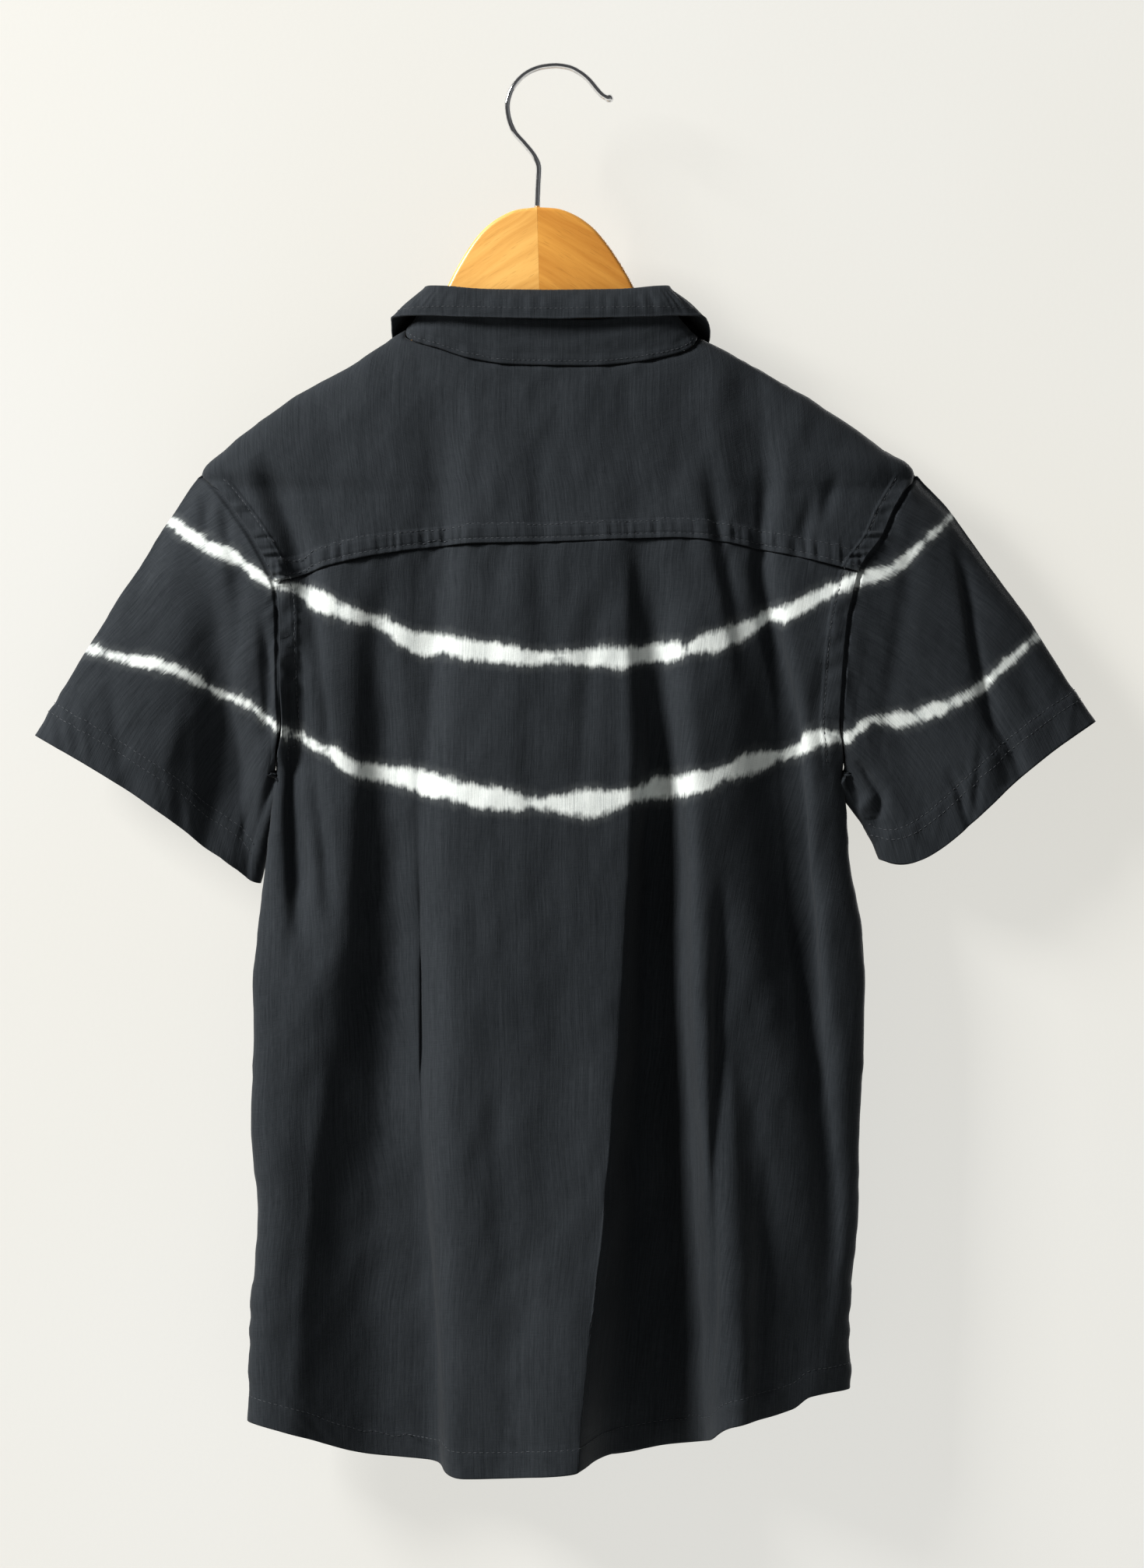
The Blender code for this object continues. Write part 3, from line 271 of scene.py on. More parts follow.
LOWER_BAND = np.array((
    (-262, 302, 3.2), (-247.6, 305, 3.4), (-232, 309.5, 2.6), (-215, 312.5, 3.8), (-197.6, 317.8, 3.6),
    (-186, 323.9, 3.2), (-173.8, 330.9, 2), (-161.5, 334.2, 3), (-153.3, 341.1, 2.8), (-143, 349.3, 2.6),
    (-137, 351.4, 2.2), (-128.7, 355.5, 3.2), (-121, 359, 2), (-116.4, 360.8, 3.4), (-108, 367.8, 4.8),
    (-96, 370.6, 3.8), (-79.5, 373.9, 5.2), (-63.1, 377.2, 5.6), (-46.7, 382.1, 5.2), (-26.2, 385.4, 4.8),
    (-12, 386.5, 3.2), (-5.7, 387, 2.8), (5, 387, 5), (18.9, 387, 6.4), (28, 386, 5), (35.3, 384.2, 3.8),
    (45, 381, 3.8), (53.7, 378.8, 5.6), (64, 378, 5), (72, 376, 5.6), (80.4, 374.7, 4.8), (88, 371, 3.6),
    (96.8, 367.8, 5), (109.1, 363.7, 4.4), (117.3, 361.6, 2.4), (129.6, 356.7, 4.2), (141.9, 351.4, 4.8),
    (147, 351, 3.4), (152.1, 352.6, 4), (160, 347, 3.4), (166.5, 343.2, 2.2), (170, 343.2, 2),
    (178.8, 343.2, 4.6), (188, 342, 5), (199.3, 337.8, 4.6), (212, 333, 4.2), (219.8, 328.8, 3.8),
    (236, 315, 3.6), (252.6, 300.1, 3.2), (270, 288, 3.2),
))

# Collar, by the angle round the neck from the middle of the back, in degrees
LEAF_FOLD = np.array((
    (0, 118.1), (20, 117.7), (40, 116), (60, 115.5), (75, 115.5), (90, 116), (105, 119.5),
    (120, 129), (135, 144), (150, 161), (165, 174), (180, 181),
))
# Lower edge: angle, drop, share of the way out from the button line (front half only)
LEAF_EDGE = np.array((
    (0, 134, 1), (30, 132.5, 1), (45, 131.6, 1), (55, 131.6, 1), (65, 132.5, 1), (75, 133.8, 1),
    (85, 137, 1), (90, 140.2, 1), (100, 148.5, 0.985), (110, 162, 0.95), (125, 187, 0.82),
    (143, 228, 0.535), (160, 214, 0.285), (170, 197, 0.13), (178, 186, 0.03),
))
LEAF_END = 178.0
# By side: how far out the leaf's fold and its edge reach, as shares of the neck seam's reach from the
# line of buttons, and how far the stand leans in
FOLD_REACH = {-1: 0.83, 1: 0.775}
EDGE_REACH = {-1: 1.095, 1: 1.068}
STAND_LEAN = {-1: 11.5, 1: 14}
RIGHT_EDGE_LOWER = 1.2  # how much lower the leaf hangs at its right side
FOLD_HALF = 1.7         # half the fold's width
LEAF_STAND_OFF = 6.5    # how far the leaf's back edge stands off the neck seam

# Hanger half, hung level: distance out from its joint, drop
HANGER_TOP = (
    (0, 73.4), (10, 74.3), (19, 77.6), (28.5, 84.3), (35.2, 92), (42, 102.2), (47.8, 112.5), (52, 121),
    (58, 130.5), (67, 140), (78, 147.4), (96, 156.3), (107, 162.3), (121, 169.8), (138, 180),
    (152, 189.8), (164, 198.9), (169, 203.2),
)
HANGER_END = ((171, 207), (171.5, 214), (168, 219), (162.5, 222))
HANGER_BOTTOM = ((162.5, 222), (130, 203), (100, 187), (75, 175), (50, 166), (25, 157), (0, 154))
HANGER_X, HANGER_TOP_DROP = -9.8, 73.4  # the top of the joint
HANGER_TILT = math.radians(1.6)
ARM_FORWARD = 10.0      # how far forward the arms come by ARM_END out
ARM_END = 169.0
JOINT_GAP = 0.04        # between the two halves
WOOD_HALF_THICK, WOOD_ROUND = 5.5, 2.2

# Hook wire: x, drop
HOOK = (
    (-9.7, 73), (-9.3, 62), (-8.8, 52), (-10.7, 46.9), (-16, 40), (-22.1, 32.8), (-24.8, 25.3),
    (-25.5, 19.6), (-24.4, 13.9), (-21.1, 7.8), (-14.5, 1.9), (-7, -0.9), (0, -1.6), (7.1, -0.6),
    (12.8, 2.2), (17.5, 6), (21.5, 10.8), (24.6, 14.2), (27.9, 15.8), (30.5, 15.8),
)
WIRE_RADIUS, HOOK_TIP_RADIUS = 1.6, 2.3

# Sleeves by side: x and drop of the hem's two ends, how far its middle arches up and its lower end sags,
# and how far the cap bulges
SLEEVE = {
    -1: {"top": (-274.6, 351.5), "bottom": (-162.4, 428), "arch": 5, "sag": 0, "bulge": 1.5},
    1: {"top": (284.4, 344.5), "bottom": (172.6, 415.5), "arch": 0, "sag": 140, "bulge": 4},
}
SLEEVE_GAP, ARMPIT_GAP = 0.9, 2.4       # room between body and sleeve at the shoulder and the armpit
CUFF_MIDDLE_Y, CUFF_HALF_DEPTH = 8.0, 11.5      # the open hem, seen from its end
FRONT_CUFF_LOWER = 1.5  # how much lower the hem is in front than behind
# Bends that the whole sleeve follows, back and front together
SLEEVE_BENDS = {
    -1: (((-190, 245, 12, 8, 0), (-182, 275, 14, 9, 4), (-174, 325, 16, 9, 8), (-168, 374, 18, 9, 11),
          (-165, 432, 18, 10, 11)),),
    1: (((207, 245, 5, 8, 0), (214, 275, 5, 8, 1.5), (223, 325, 5, 9, 2.5), (238, 372, 6, 9, 2.5)),),
}
# The hollow down each sleeve: the share of the way round it and down it, and its depth
SLEEVE_TROUGH = {-1: (0.33, 0.45, 8), 1: (0.30, 0.5, 4)}

SEAM_ALLOWANCE = 9.0    # width of the raised band beside a lapped seam
STITCH_NEAR, STITCH_FAR = 1.6, 8.0      # the twin rows, from the seam
BODY_HEM, SLEEVE_HEM = 13.5, 20.0
SLEEVE_ROWS = 5.4       # between the sleeve hem's two rows of stitches
PLACKET_ROWS = (5, 21)  # the placket's two rows, from its edge


def smooth(table, at, column=1):
    """A monotone cubic curve through one column of a table, against its first column."""
    xs, ys = np.asarray(table, float)[:, 0], np.asarray(table, float)[:, column]
    at = np.clip(np.asarray(at, float), xs[0], xs[-1])
    step = np.diff(xs)
    slope = np.diff(ys) / step
    before, after = slope[:-1], slope[1:]
    same_sign = before * after > 0
    inner = np.where(same_sign, 2 * before * after / np.where(same_sign, before + after, 1.0), 0.0)
    tangent = np.concatenate(([slope[0]], inner, [slope[-1]]))
    i = np.clip(np.searchsorted(xs, at, side="right") - 1, 0, len(xs) - 2)
    h, t = step[i], (at - xs[i]) / step[i]
    return ((1 + 2 * t) * (1 - t) ** 2 * ys[i] + t * (1 - t) ** 2 * h * tangent[i]
            + t ** 2 * (3 - 2 * t) * ys[i + 1] + t ** 2 * (t - 1) * h * tangent[i + 1])


def ramp(value, start, end):
    """0 before start and 1 after end, with a soft turn at each."""
    t = np.clip((value - start) / (end - start), 0.0, 1.0)
    return t * t * (3 - 2 * t)


def dent(away, reach):
    """1 on a line and fading to 0 beside it."""
    return np.exp(-(away / reach) ** 2)


def fold_depth(folds, x, drop):
    """How far a panel's folds push it towards the inside of the shirt."""
    total = np.zeros_like(x)
    for left_power, rows in folds:
        middle, left, right, depth = (smooth(rows, drop, column) for column in range(1, 5))
        away = x - middle
        shape = np.where(away < 0, np.exp(-np.abs(away / left) ** left_power),
                         np.exp(-np.abs(away / right) ** 2))
        total = total + depth * shape
    return total


def along_path(rows, count=None):
    """Every column of a path's rows at even steps of its length, and how far along each step is."""
    rows = np.array(rows, float)
    length = np.concatenate(([0.0], np.cumsum(np.hypot(*np.diff(rows[:, :2], axis=0).T))))
    even = np.linspace(0, length[-1], count or max(int(length[-1] / CREASE_STEP), 4))
    return [smooth(np.column_stack((length, column)), even) for column in rows.T], even


CREASE_STEP = 4         # millimetres between the places where a crease is worked out
CREASE_REACH = 3        # how far along it each place's depth still counts
CREASE_END = 5          # how far a crease fades out past its ends


def crease_depth(creases, x, drop):
    """How far the listed creases push a panel inwards."""
    total = np.zeros(np.shape(x))
    for rows in creases:
        xs, drops, lefts, rights, depths = along_path(rows)[0]
        reach = 3 * max(lefts.max(), rights.max())
        near = ((x > xs.min() - reach) & (x < xs.max() + reach)
                & (drop > drops.min() - reach) & (drop < drops.max() + reach))
        dx, dd = x[near][:, None] - xs, drop[near][:, None] - drops
        nearest = np.argmin(dx ** 2 + dd ** 2, axis=1)
        pick = np.arange(len(nearest))
        along_x, along_d = np.gradient(xs), np.gradient(drops)
        unit = np.hypot(along_x, along_d)
        along_x, along_d = (along_x / unit)[nearest], (along_d / unit)[nearest]
        off_x, off_d = dx[pick, nearest], dd[pick, nearest]
        away = off_x * along_d - off_d * along_x
        beyond = off_x * along_x + off_d * along_d
        wide = np.where(away < 0, lefts[nearest], rights[nearest])
        past = np.clip(np.abs(beyond) - CREASE_REACH, 0, None)
        shape = np.exp(-(away / wide) ** 2 - (past / CREASE_END) ** 2)
        slope = (np.gradient(depths) / unit)[nearest]
        step = np.clip(beyond, np.where(nearest > 0, -CREASE_REACH, 0),
                       np.where(nearest < len(xs) - 1, CREASE_REACH, 0))
        total[near] += (depths[nearest] + slope * step) * shape
    return total


def lattice_noise(x, y, seed):
    """Smooth random heights from -1 to 1, one for each whole step of x and y. Each seed has its own."""
    size = 64
    lattice = np.random.default_rng(seed).uniform(-1, 1, (size, size))
    xi, yi = np.floor(x).astype(int), np.floor(y).astype(int)
    tx, ty = x - xi, y - yi
    tx, ty = tx * tx * (3 - 2 * tx), ty * ty * (3 - 2 * ty)
    top = lattice[yi % size, xi % size] * (1 - tx) + lattice[yi % size, (xi + 1) % size] * tx
    low = lattice[(yi + 1) % size, xi % size] * (1 - tx) + lattice[(yi + 1) % size, (xi + 1) % size] * tx
    return top * (1 - ty) + low * ty


def rumple(x, drop, seed):
    """The small unevenness of hanging cloth, longer down its length than across."""
    return (0.75 * lattice_noise(x / 17, drop / 60, seed) + 0.34 * lattice_noise(x / 8, drop / 19, seed + 1)
            + 0.5 * lattice_noise((x + 0.5 * drop) / 13, (drop - 0.6 * x) / 30, seed + 3)
            + 0.08 * lattice_noise(x / 3, drop / 4, seed + 2))


def pucker(along, away, seed, reach=5.0, pitch=4.0, depth=0.4, strength=None):
    """Short gathers that stand across a seam and fade beside it."""
    if strength is None:
        strength = 0.35 + 0.65 * np.clip(lattice_noise(along / 38, 0 * along, seed + 5) * 2, 0, 1)
    gathers = lattice_noise(along / pitch + away * 0.03, away * 0.02, seed)
    return depth * strength * gathers * dent(away, reach)


def side_x(side, drop):
    """x of the body's edge: side -1 is the left one and 1 the right one."""
    return smooth(TORSO, drop, 1 if side < 0 else 2) - side * WALL


def across(x, drop):
    """The place of x between the body's edges, from -1 to 1."""
    left, right = side_x(-1, drop), side_x(1, drop)
    return np.clip((2 * x - left - right) / (right - left), -1.0, 1.0)


def x_at(n, drop):
    left, right = side_x(-1, drop), side_x(1, drop)
    return (left + right) / 2 + n * (right - left) / 2


def bow(n, drop):
    """0 at a panel's edges and 1 over its middle."""
    return np.maximum(1 - np.abs(n) ** 2.4, 0.0) ** smooth(EDGE_TURN, drop)


def back_y(n, drop):
    edge, middle = smooth(TORSO, drop, 3), smooth(TORSO, drop, 5) + WALL
    folds = fold_depth(BACK_FOLDS, x_at(n, drop), drop) * (1 - np.abs(n) ** 12)
    return edge + (middle - edge) * bow(n, drop) + folds


def front_y(n, drop):
    edge, middle = smooth(TORSO, drop, 4), smooth(TORSO, drop, 6) - WALL
    folds = fold_depth(FRONT_FOLDS, x_at(n, drop), drop) * (1 - np.abs(n) ** 12)
    return edge + (middle - edge) * bow(n, drop) - folds


def neck_x(side):
    return float(side_x(side, NECK_DROP[side]))


def inner_x(side, drop):
    """x of a front's inner edge: the round neckline, then the straight placket."""
    placket = CENTRE_FRONT - side * PLACKET_HALF
    down = np.clip((drop - NECK_DROP[side]) / (NECK_FRONT_DROP - NECK_DROP[side]), 0.0, 1.0)
    return placket + (neck_x(side) - placket) * np.sqrt(1 - down ** 2)


def front_point(side, m, drop):
    """A point of a front: m runs from 0 at its outer edge to 1 at its inner edge."""
    outer = side_x(side, drop)
    x = outer + m * (inner_x(side, drop) - outer)
    y = front_y(across(x, drop), drop)
    if side > 0:
        y = y - (WALL + 0.6) * (1 - ramp(x, CENTRE_FRONT + 18, CENTRE_FRONT + 34))
    return x, y, -drop


def spread(t):
    """Columns that lie closer together near both edges."""
    return 0.5 * t + 0.5 * np.sin(np.pi * t / 2)


def steps(*spans):
    """Values from 0 upwards: each span gives where it ends and into how many steps it is cut."""
    values, start = [np.array([spans[0][0]])], spans[0][0]
    for end, count in spans[1:]:
        values.append(np.linspace(start, end, count + 1)[1:])
        start = end
    return np.concatenate(values)


# Every cloth piece is made from patches: (columns, rows, place, depth, flip). place(u, v) gives the
# base surface and depth(u, v, x, drop) how far the point lies inside the piece's plain outer face.
def patch_points(columns, rows, place):
    u, v = np.meshgrid(columns, rows)
    return u, v, np.stack(np.broadcast_arrays(*place(u, v)), axis=-1)


def distance_along(at, axis):
    """How far each point of a grid lies from the grid's first row (axis 0) or column (axis 1)."""
    length = np.cumsum(np.linalg.norm(np.diff(at, axis=axis), axis=2), axis=axis)
    return np.insert(length, 0, 0.0, axis=axis)


def of_each(values, key, width):
    """One property of every vertex, in a row for each."""
    got = np.empty(len(values) * width, np.float32)
    values.foreach_get(key, got)
    return got.reshape(-1, width)


def cloth_mesh(name, patches, wall, softened):
    """Join patches into the outer face of a piece, with its weave map and its distances from the bands.

    The base surface is evened out as often as softened says.
    """
    points, faces, weave, depths = [], [], [], []
    start = 0
    for columns, rows, place, depth, flip in patches:
        u, v, at = patch_points(columns, rows, place)
        index = start + np.arange(u.size).reshape(u.shape)
        quads = np.stack((index[:-1, :-1], index[:-1, 1:], index[1:, 1:], index[1:, :-1]), -1).reshape(-1, 4)
        faces.append(quads[:, ::-1] if flip else quads)
        across_arc = distance_along(at, 1)
        across_arc = across_arc - across_arc[:, [u.shape[1] // 2]]
        weave.append(np.stack((across_arc, distance_along(at, 0)), -1).reshape(-1, 2))
        depths.append(np.broadcast_to(depth(u, v, at[..., 0], -at[..., 2]), u.shape).ravel())
        points.append(at.reshape(-1, 3))
        start += u.size
    points, faces = np.concatenate(points), np.concatenate(faces)
    weave, depths = np.concatenate(weave), np.concatenate(depths)
    mesh = bpy.data.meshes.new(name)
    mesh.from_pydata((points * MM).tolist(), [], faces.tolist())
    mesh.attributes.new("depth", "FLOAT", "POINT").data.foreach_set("value", depths.astype(np.float32))
    uv = mesh.uv_layers.new(name="weave")
    uv.data.foreach_set("uv", (weave[faces.ravel()] * MM).astype(np.float32).ravel())
    bm = bmesh.new()
    bm.from_mesh(mesh)
    bmesh.ops.remove_doubles(bm, verts=bm.verts, dist=WELD * MM)
    for _ in range(softened):
        bmesh.ops.smooth_vert(bm, verts=bm.verts, factor=0.5,
                              use_axis_x=True, use_axis_y=True, use_axis_z=True)
    bm.to_mesh(mesh)
    bm.free()
    co = of_each(mesh.vertices, "co", 3).astype(float) / MM
    normal = of_each(mesh.vertex_normals, "vector", 3)
    depth = of_each(mesh.attributes["depth"].data, "value", 1)
    mesh.attributes.remove(mesh.attributes["depth"])
    wider = BODY_BAND + (SLEEVE_BAND - BODY_BAND) * ramp(np.abs(co[:, 0]), 128, 162)
    for band, table in (("upper_band", UPPER_BAND), ("lower_band", LOWER_BAND)):
        off = np.abs(-co[:, 2] - smooth(table, co[:, 0])) - smooth(table, co[:, 0], 2) * wider
        mesh.attributes.new(band, "FLOAT", "POINT").data.foreach_set("value", off.astype(np.float32))
    co = co + normal * (wall - depth)
    mesh.vertices.foreach_set("co", (co * MM).astype(np.float32).ravel())
    mesh.shade_smooth()
    mesh.update()
    return mesh


def add_object(name, data):
    made = bpy.data.objects.new(name, data)
    bpy.context.scene.collection.objects.link(made)
    return made


def baked(drawn, *helpers):
    """The mesh that an object's modifiers or curve come to. The object and its helpers are removed."""
    bpy.context.view_layer.update()
    mesh = bpy.data.meshes.new_from_object(drawn.evaluated_get(bpy.context.evaluated_depsgraph_get()))
    for one in (drawn, *helpers):
        bpy.data.objects.remove(one)
    return mesh


def finished(mesh, sharp=None):
    """Shade a mesh smoothly, except at edges that turn by more than sharp degrees."""
    mesh.shade_smooth()
    if sharp:
        mesh.set_sharp_from_angle(angle=math.radians(sharp))
    return mesh


def add_piece(name, mesh, finish, stands_for=None):
    """A visible piece of the one body, in place of the solid that it stands for."""
    mesh.materials.clear()
    mesh.materials.append(materials[finish])
    piece = add_object(name, mesh)
    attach(piece, "root")
    if stands_for:
        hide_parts(stands_for)
    return piece


def cloth_piece(name, patches, wall=WALL, thick=CLOTH, softened=0):
    """A finished cloth piece that stands for its solid, and the tree that finds places on its face."""
    mesh = cloth_mesh(name, patches, wall, softened)
    tree = BVHTree.FromPolygons([v.co.copy() for v in mesh.vertices],
                                [tuple(p.vertices) for p in mesh.polygons])
    piece = add_piece(f"{name}_cloth", mesh, "cloth", name)
    solidify = piece.modifiers.new("thickness", "SOLIDIFY")
    solidify.thickness = thick * MM
    solidify.offset = -1.0
    return piece, tree


def end_inset(place, us, inset, reach):
    """Where on each column v lies so that inset is left of the way to v = 1."""
    vs = np.linspace(1 - reach, 1, 400)
    _, v, at = patch_points(us, vs, place)
    left = np.zeros(v.shape)
    left[:-1] = np.cumsum(np.linalg.norm(np.diff(at, axis=0), axis=2)[::-1], axis=0)[::-1]
    return np.array([np.interp(-inset, -left[:, k], vs) for k in range(len(us))])


def lay(tree, points, lift=0.05):
    """Set points down on a piece's outer face."""
    laid = []
    for point in points:
        place, normal, _, _ = tree.find_nearest(Vector(point) * MM)
        laid.append(place + normal * (lift * MM))
    return laid


def math_node(operation, swapped=False):
    """A Socket's method that adds a Math node for one sum."""
    def method(self, other):
        first, second = (other, self) if swapped else (self, other)
        return self.make("ShaderNodeMath", {"operation": operation}, {0: first, 1: second})
    return method


class Socket:
    """A shader output that takes part in sums: each one adds a Math node to its tree."""

    def __init__(self, tree, output=None):
        self.tree, self.output = tree, output

    def make(self, kind, settings=(), inlets=(), outlet=0):
        """Add a node: its settings first, then the values or links of its inlets."""
        node = self.tree.nodes.new(kind)
        for name, value in dict(settings).items():
            setattr(node, name, value)
        for name, value in dict(inlets).items():
            if isinstance(value, Socket):
                self.tree.links.new(value.output, node.inputs[name])
            else:
                node.inputs[name].default_value = value
        return Socket(self.tree, node.outputs[outlet])

    __add__, __radd__ = math_node("ADD"), math_node("ADD", True)
    __sub__, __rsub__ = math_node("SUBTRACT"), math_node("SUBTRACT", True)
    __mul__ = math_node("MULTIPLY")
    least, most = math_node("MINIMUM"), math_node("MAXIMUM")

    def between(self, low, high):
        """0 at low and 1 at high, with a soft turn at each."""
        return self.make("ShaderNodeMapRange", {"interpolation_type": "SMOOTHSTEP"},
                         {"Value": self, "From Min": low, "From Max": high})

    def object_place(self):
        """The place on the object itself, in metres."""
        return self.make("ShaderNodeTexCoord", outlet=3)

    def noise(self, at, stretch, detail=2.0, rough=0.5):
        """Noise at a place, with so many spots a metre along each axis."""
        place = self.make("ShaderNodeMapping", {}, {"Vector": at, "Scale": stretch})
        return self.make("ShaderNodeTexNoise", {"noise_dimensions": "3D"},
                         {"Vector": place, "Scale": 1.0, "Detail": detail, "Roughness": rough})

    def blend(self, low, high):
        """The colour low where this is 0 and high where it is 1."""
        return self.make("ShaderNodeMix", {"data_type": "RGBA"}, {0: self, 6: low, 7: high}, outlet=2)

    def bump(self, height, strength, distance):
        return self.make("ShaderNodeBump", {}, {"Height": height, "Strength": strength, "Distance": distance})


def finish_of(name, fixed=()):
    """A new material: its shader with its fixed values, and a socket to begin its pattern from."""
    made = bpy.data.materials.new(name)
    made.use_nodes = True
    shader = made.node_tree.nodes["Principled BSDF"]
    for inlet, value in dict(fixed).items():
        shader.inputs[inlet].default_value = value
    return made, shader, Socket(made.node_tree)


def wear(shader, **inlets):
    """Link a material's varying sockets to its shader."""
    for name, value in inlets.items():
        value.tree.links.new(value.output, shader.inputs[name.replace("_", " ")])


CHARCOAL_DARK, CHARCOAL_LIGHT = (0.0105, 0.0132, 0.0162, 1), (0.031, 0.0355, 0.0415, 1)
DYE_WHITE, DYE_GREY = (0.6, 0.63, 0.62, 1), (0.43, 0.465, 0.465, 1)


def cloth_finish():
    """Charcoal slub cotton: uneven warp threads, fine weft, and two bands the dye never reached."""
    made, shader, start = finish_of("charcoal_slub_cotton", {
        "Sheen Weight": 0.04, "Sheen Roughness": 0.5, "Specular IOR Level": 0.18})
    weave = start.make("ShaderNodeUVMap", {"uv_map": "weave"})
    slub = start.noise(weave, (1100, 22, 1), 3.0, 0.6)
    warp = start.noise(weave, (2400, 150, 1), 1.0)
    weft = start.noise(weave, (140, 2200, 1), 1.0)
    cloud = start.noise(weave, (18, 9, 1), 2.0)
    thread = slub * 0.5 + warp * 0.32 + weft * 0.18
    tone = (thread - 0.5) * 1.5 + (cloud - 0.5) * 0.5 + 0.5
    charcoal = tone.between(0.0, 1.0).blend(CHARCOAL_DARK, CHARCOAL_LIGHT)

    lobes = start.noise(weave, (105, 70, 1), 3.0, 0.65)
    bleed = start.noise(weave, (1200, 40, 1), 2.0, 0.65)
    upper, lower = (start.make("ShaderNodeAttribute", {"attribute_name": band}, outlet=2)
                    for band in ("upper_band", "lower_band"))
    beyond = upper.least(lower) + (lobes - 0.5) * 9.0 + (bleed - 0.5) * 4.0 + 0.3
    white = beyond.between(2.2, -2.4)
    halo = beyond.between(6.0, 0.0) * 0.05
    pale = ((lobes - 0.5) * 1.2 + (slub - 0.5) * 0.8 + 0.3).between(0.0, 1.0)
    dyed = white.most(halo)
    colour = dyed.blend(charcoal, pale.blend(DYE_WHITE, DYE_GREY))
    height = slub * 0.5 + warp * 0.3 + weft * 0.35
    wear(shader, Base_Color=colour, Roughness=0.95 - thread * 0.16,
         Normal=start.bump(height, 0.7, 0.0004))
    return made


def thread_finish():
    """Twisted sewing thread, a shade lighter than the cloth."""
    made, shader, start = finish_of("charcoal_thread", {"Specular IOR Level": 0.4})
    place = start.object_place()
    twist = start.noise(place, (1800, 1800, 1800), 2.0)
    colour = twist.blend((0.02, 0.023, 0.028, 1), (0.07, 0.077, 0.086, 1))
    wear(shader, Base_Color=colour, Roughness=0.5 + twist * 0.3, Normal=start.bump(twist, 0.4, 0.0001))
    return made


def button_finish():
    """Dark grey cast buttons with a faint swirl and a duller, scuffed rim."""
    made, shader, start = finish_of("grey_button", {"Coat Roughness": 0.2})
    place = start.object_place()
    swirl = start.noise(place, (260, 260, 90), 4.0, 0.6)
    scuff = start.noise(place, (1500, 1500, 1500), 2.0)
    colour = swirl.between(0.3, 0.75).blend((0.018, 0.021, 0.026, 1), (0.07, 0.076, 0.086, 1))
    wear(shader, Base_Color=colour, Roughness=0.24 + scuff * 0.22 + swirl * 0.1,
         Coat_Weight=0.5 - scuff * 0.3, Normal=start.bump(scuff, 0.12, 0.0001))
    return made


def wood_finish(name, dark, light, slope, seed):
    """Lacquered wood whose grain runs along its arm: slope is the arm's fall for each unit outwards."""
    made, shader, start = finish_of(name, {"Coat Roughness": 0.22, "Specular IOR Level": 0.4})
    place = start.object_place()
    turned = start.make("ShaderNodeMapping", {}, {
        "Vector": place, "Rotation": (0.0, math.atan(slope), 0.0), "Location": (seed, seed * 0.3, 0.0)})
    warp = start.noise(turned, (16, 20, 26), 2.0)
    bent = start.make("ShaderNodeVectorMath", {"operation": "ADD"}, {
        0: turned, 1: start.make("ShaderNodeCombineXYZ", {}, {0: 0.0, 1: warp * 0.004, 2: warp * 0.012})})
    grain = start.noise(bent, (14, 150, 330), 3.0, 0.62)
    rings = start.noise(bent, (7, 40, 90), 2.0, 0.5)
    pores = start.noise(turned, (120, 1600, 2600), 1.0)
    tone = (grain - 0.5) * 0.9 + (rings - 0.5) * 1.3 + 0.5
    base = tone.between(0.08, 0.92).blend(dark, light)
    flecks = pores.between(0.62, 0.74) * 0.35
    colour = flecks.blend(base, tuple(c * 0.55 for c in dark[:3]) + (1,))
    wear(shader, Base_Color=colour, Roughness=0.38 + grain * 0.14, Coat_Weight=0.5 - pores * 0.25,
         Normal=start.bump(grain * 0.6 + pores * 0.4, 0.12, 0.0002))
    return made


def chrome_finish():
    """Bright chrome wire with faint drawing marks."""
    made, shader, start = finish_of("chrome_wire", {"Metallic": 1.0})
    place = start.object_place()
    marks = start.noise(place, (700, 700, 700), 3.0)
    colour = marks.between(0.3, 0.8).blend((0.72, 0.72, 0.73, 1), (0.86, 0.86, 0.87, 1))
    wear(shader, Base_Color=colour, Roughness=0.04 + marks * 0.07, Normal=start.bump(marks, 0.06, 0.0001))
    return made


materials = {
    "cloth": cloth_finish(),
    "thread": thread_finish(),
    "button": button_finish(),
    # One wood made twice: the left half's copy is painted lighter and the right half's darker, a painted
    # light and painted shade for how each half faces the window
    "wood_painted_lit": wood_finish("painted_lit_left_wood_half", (0.54, 0.27, 0.065, 1), (0.71, 0.41, 0.125, 1), 0.62, 0.13),
    "wood_painted_shade": wood_finish("painted_shade_right_wood_half", (0.46, 0.20, 0.035, 1), (0.63, 0.32, 0.07, 1), -0.62, 0.71),
    "chrome": chrome_finish(),
}


def yoke_seam_place(n, above):
    """A point of the yoke's back, so far above its lower seam."""
    drop = smooth(YOKE_SEAM, n) - above
    return x_at(n, drop), back_y(n, drop), -drop


YOKE_UPPER = 40         # rows from the neck to the shoulder points
# How strongly the yoke's seam is gathered: x, strength
YOKE_GATHERS = np.array((
    (-150, 0.6), (-120, 0.9), (-105, 0.35), (-98, 0.4), (-90, 0.9), (-72, 1.0), (-52, 0.95), (-42, 0.3),
    (-5, 0.25), (22, 0.35), (30, 1.0), (52, 0.9), (60, 0.35), (80, 0.4), (90, 0.9), (104, 0.5),
    (112, 1.0), (122, 0.6), (150, 0.8),
))
YOKE_LAP = 0.9          # the yoke's lower edge laps over the panels below


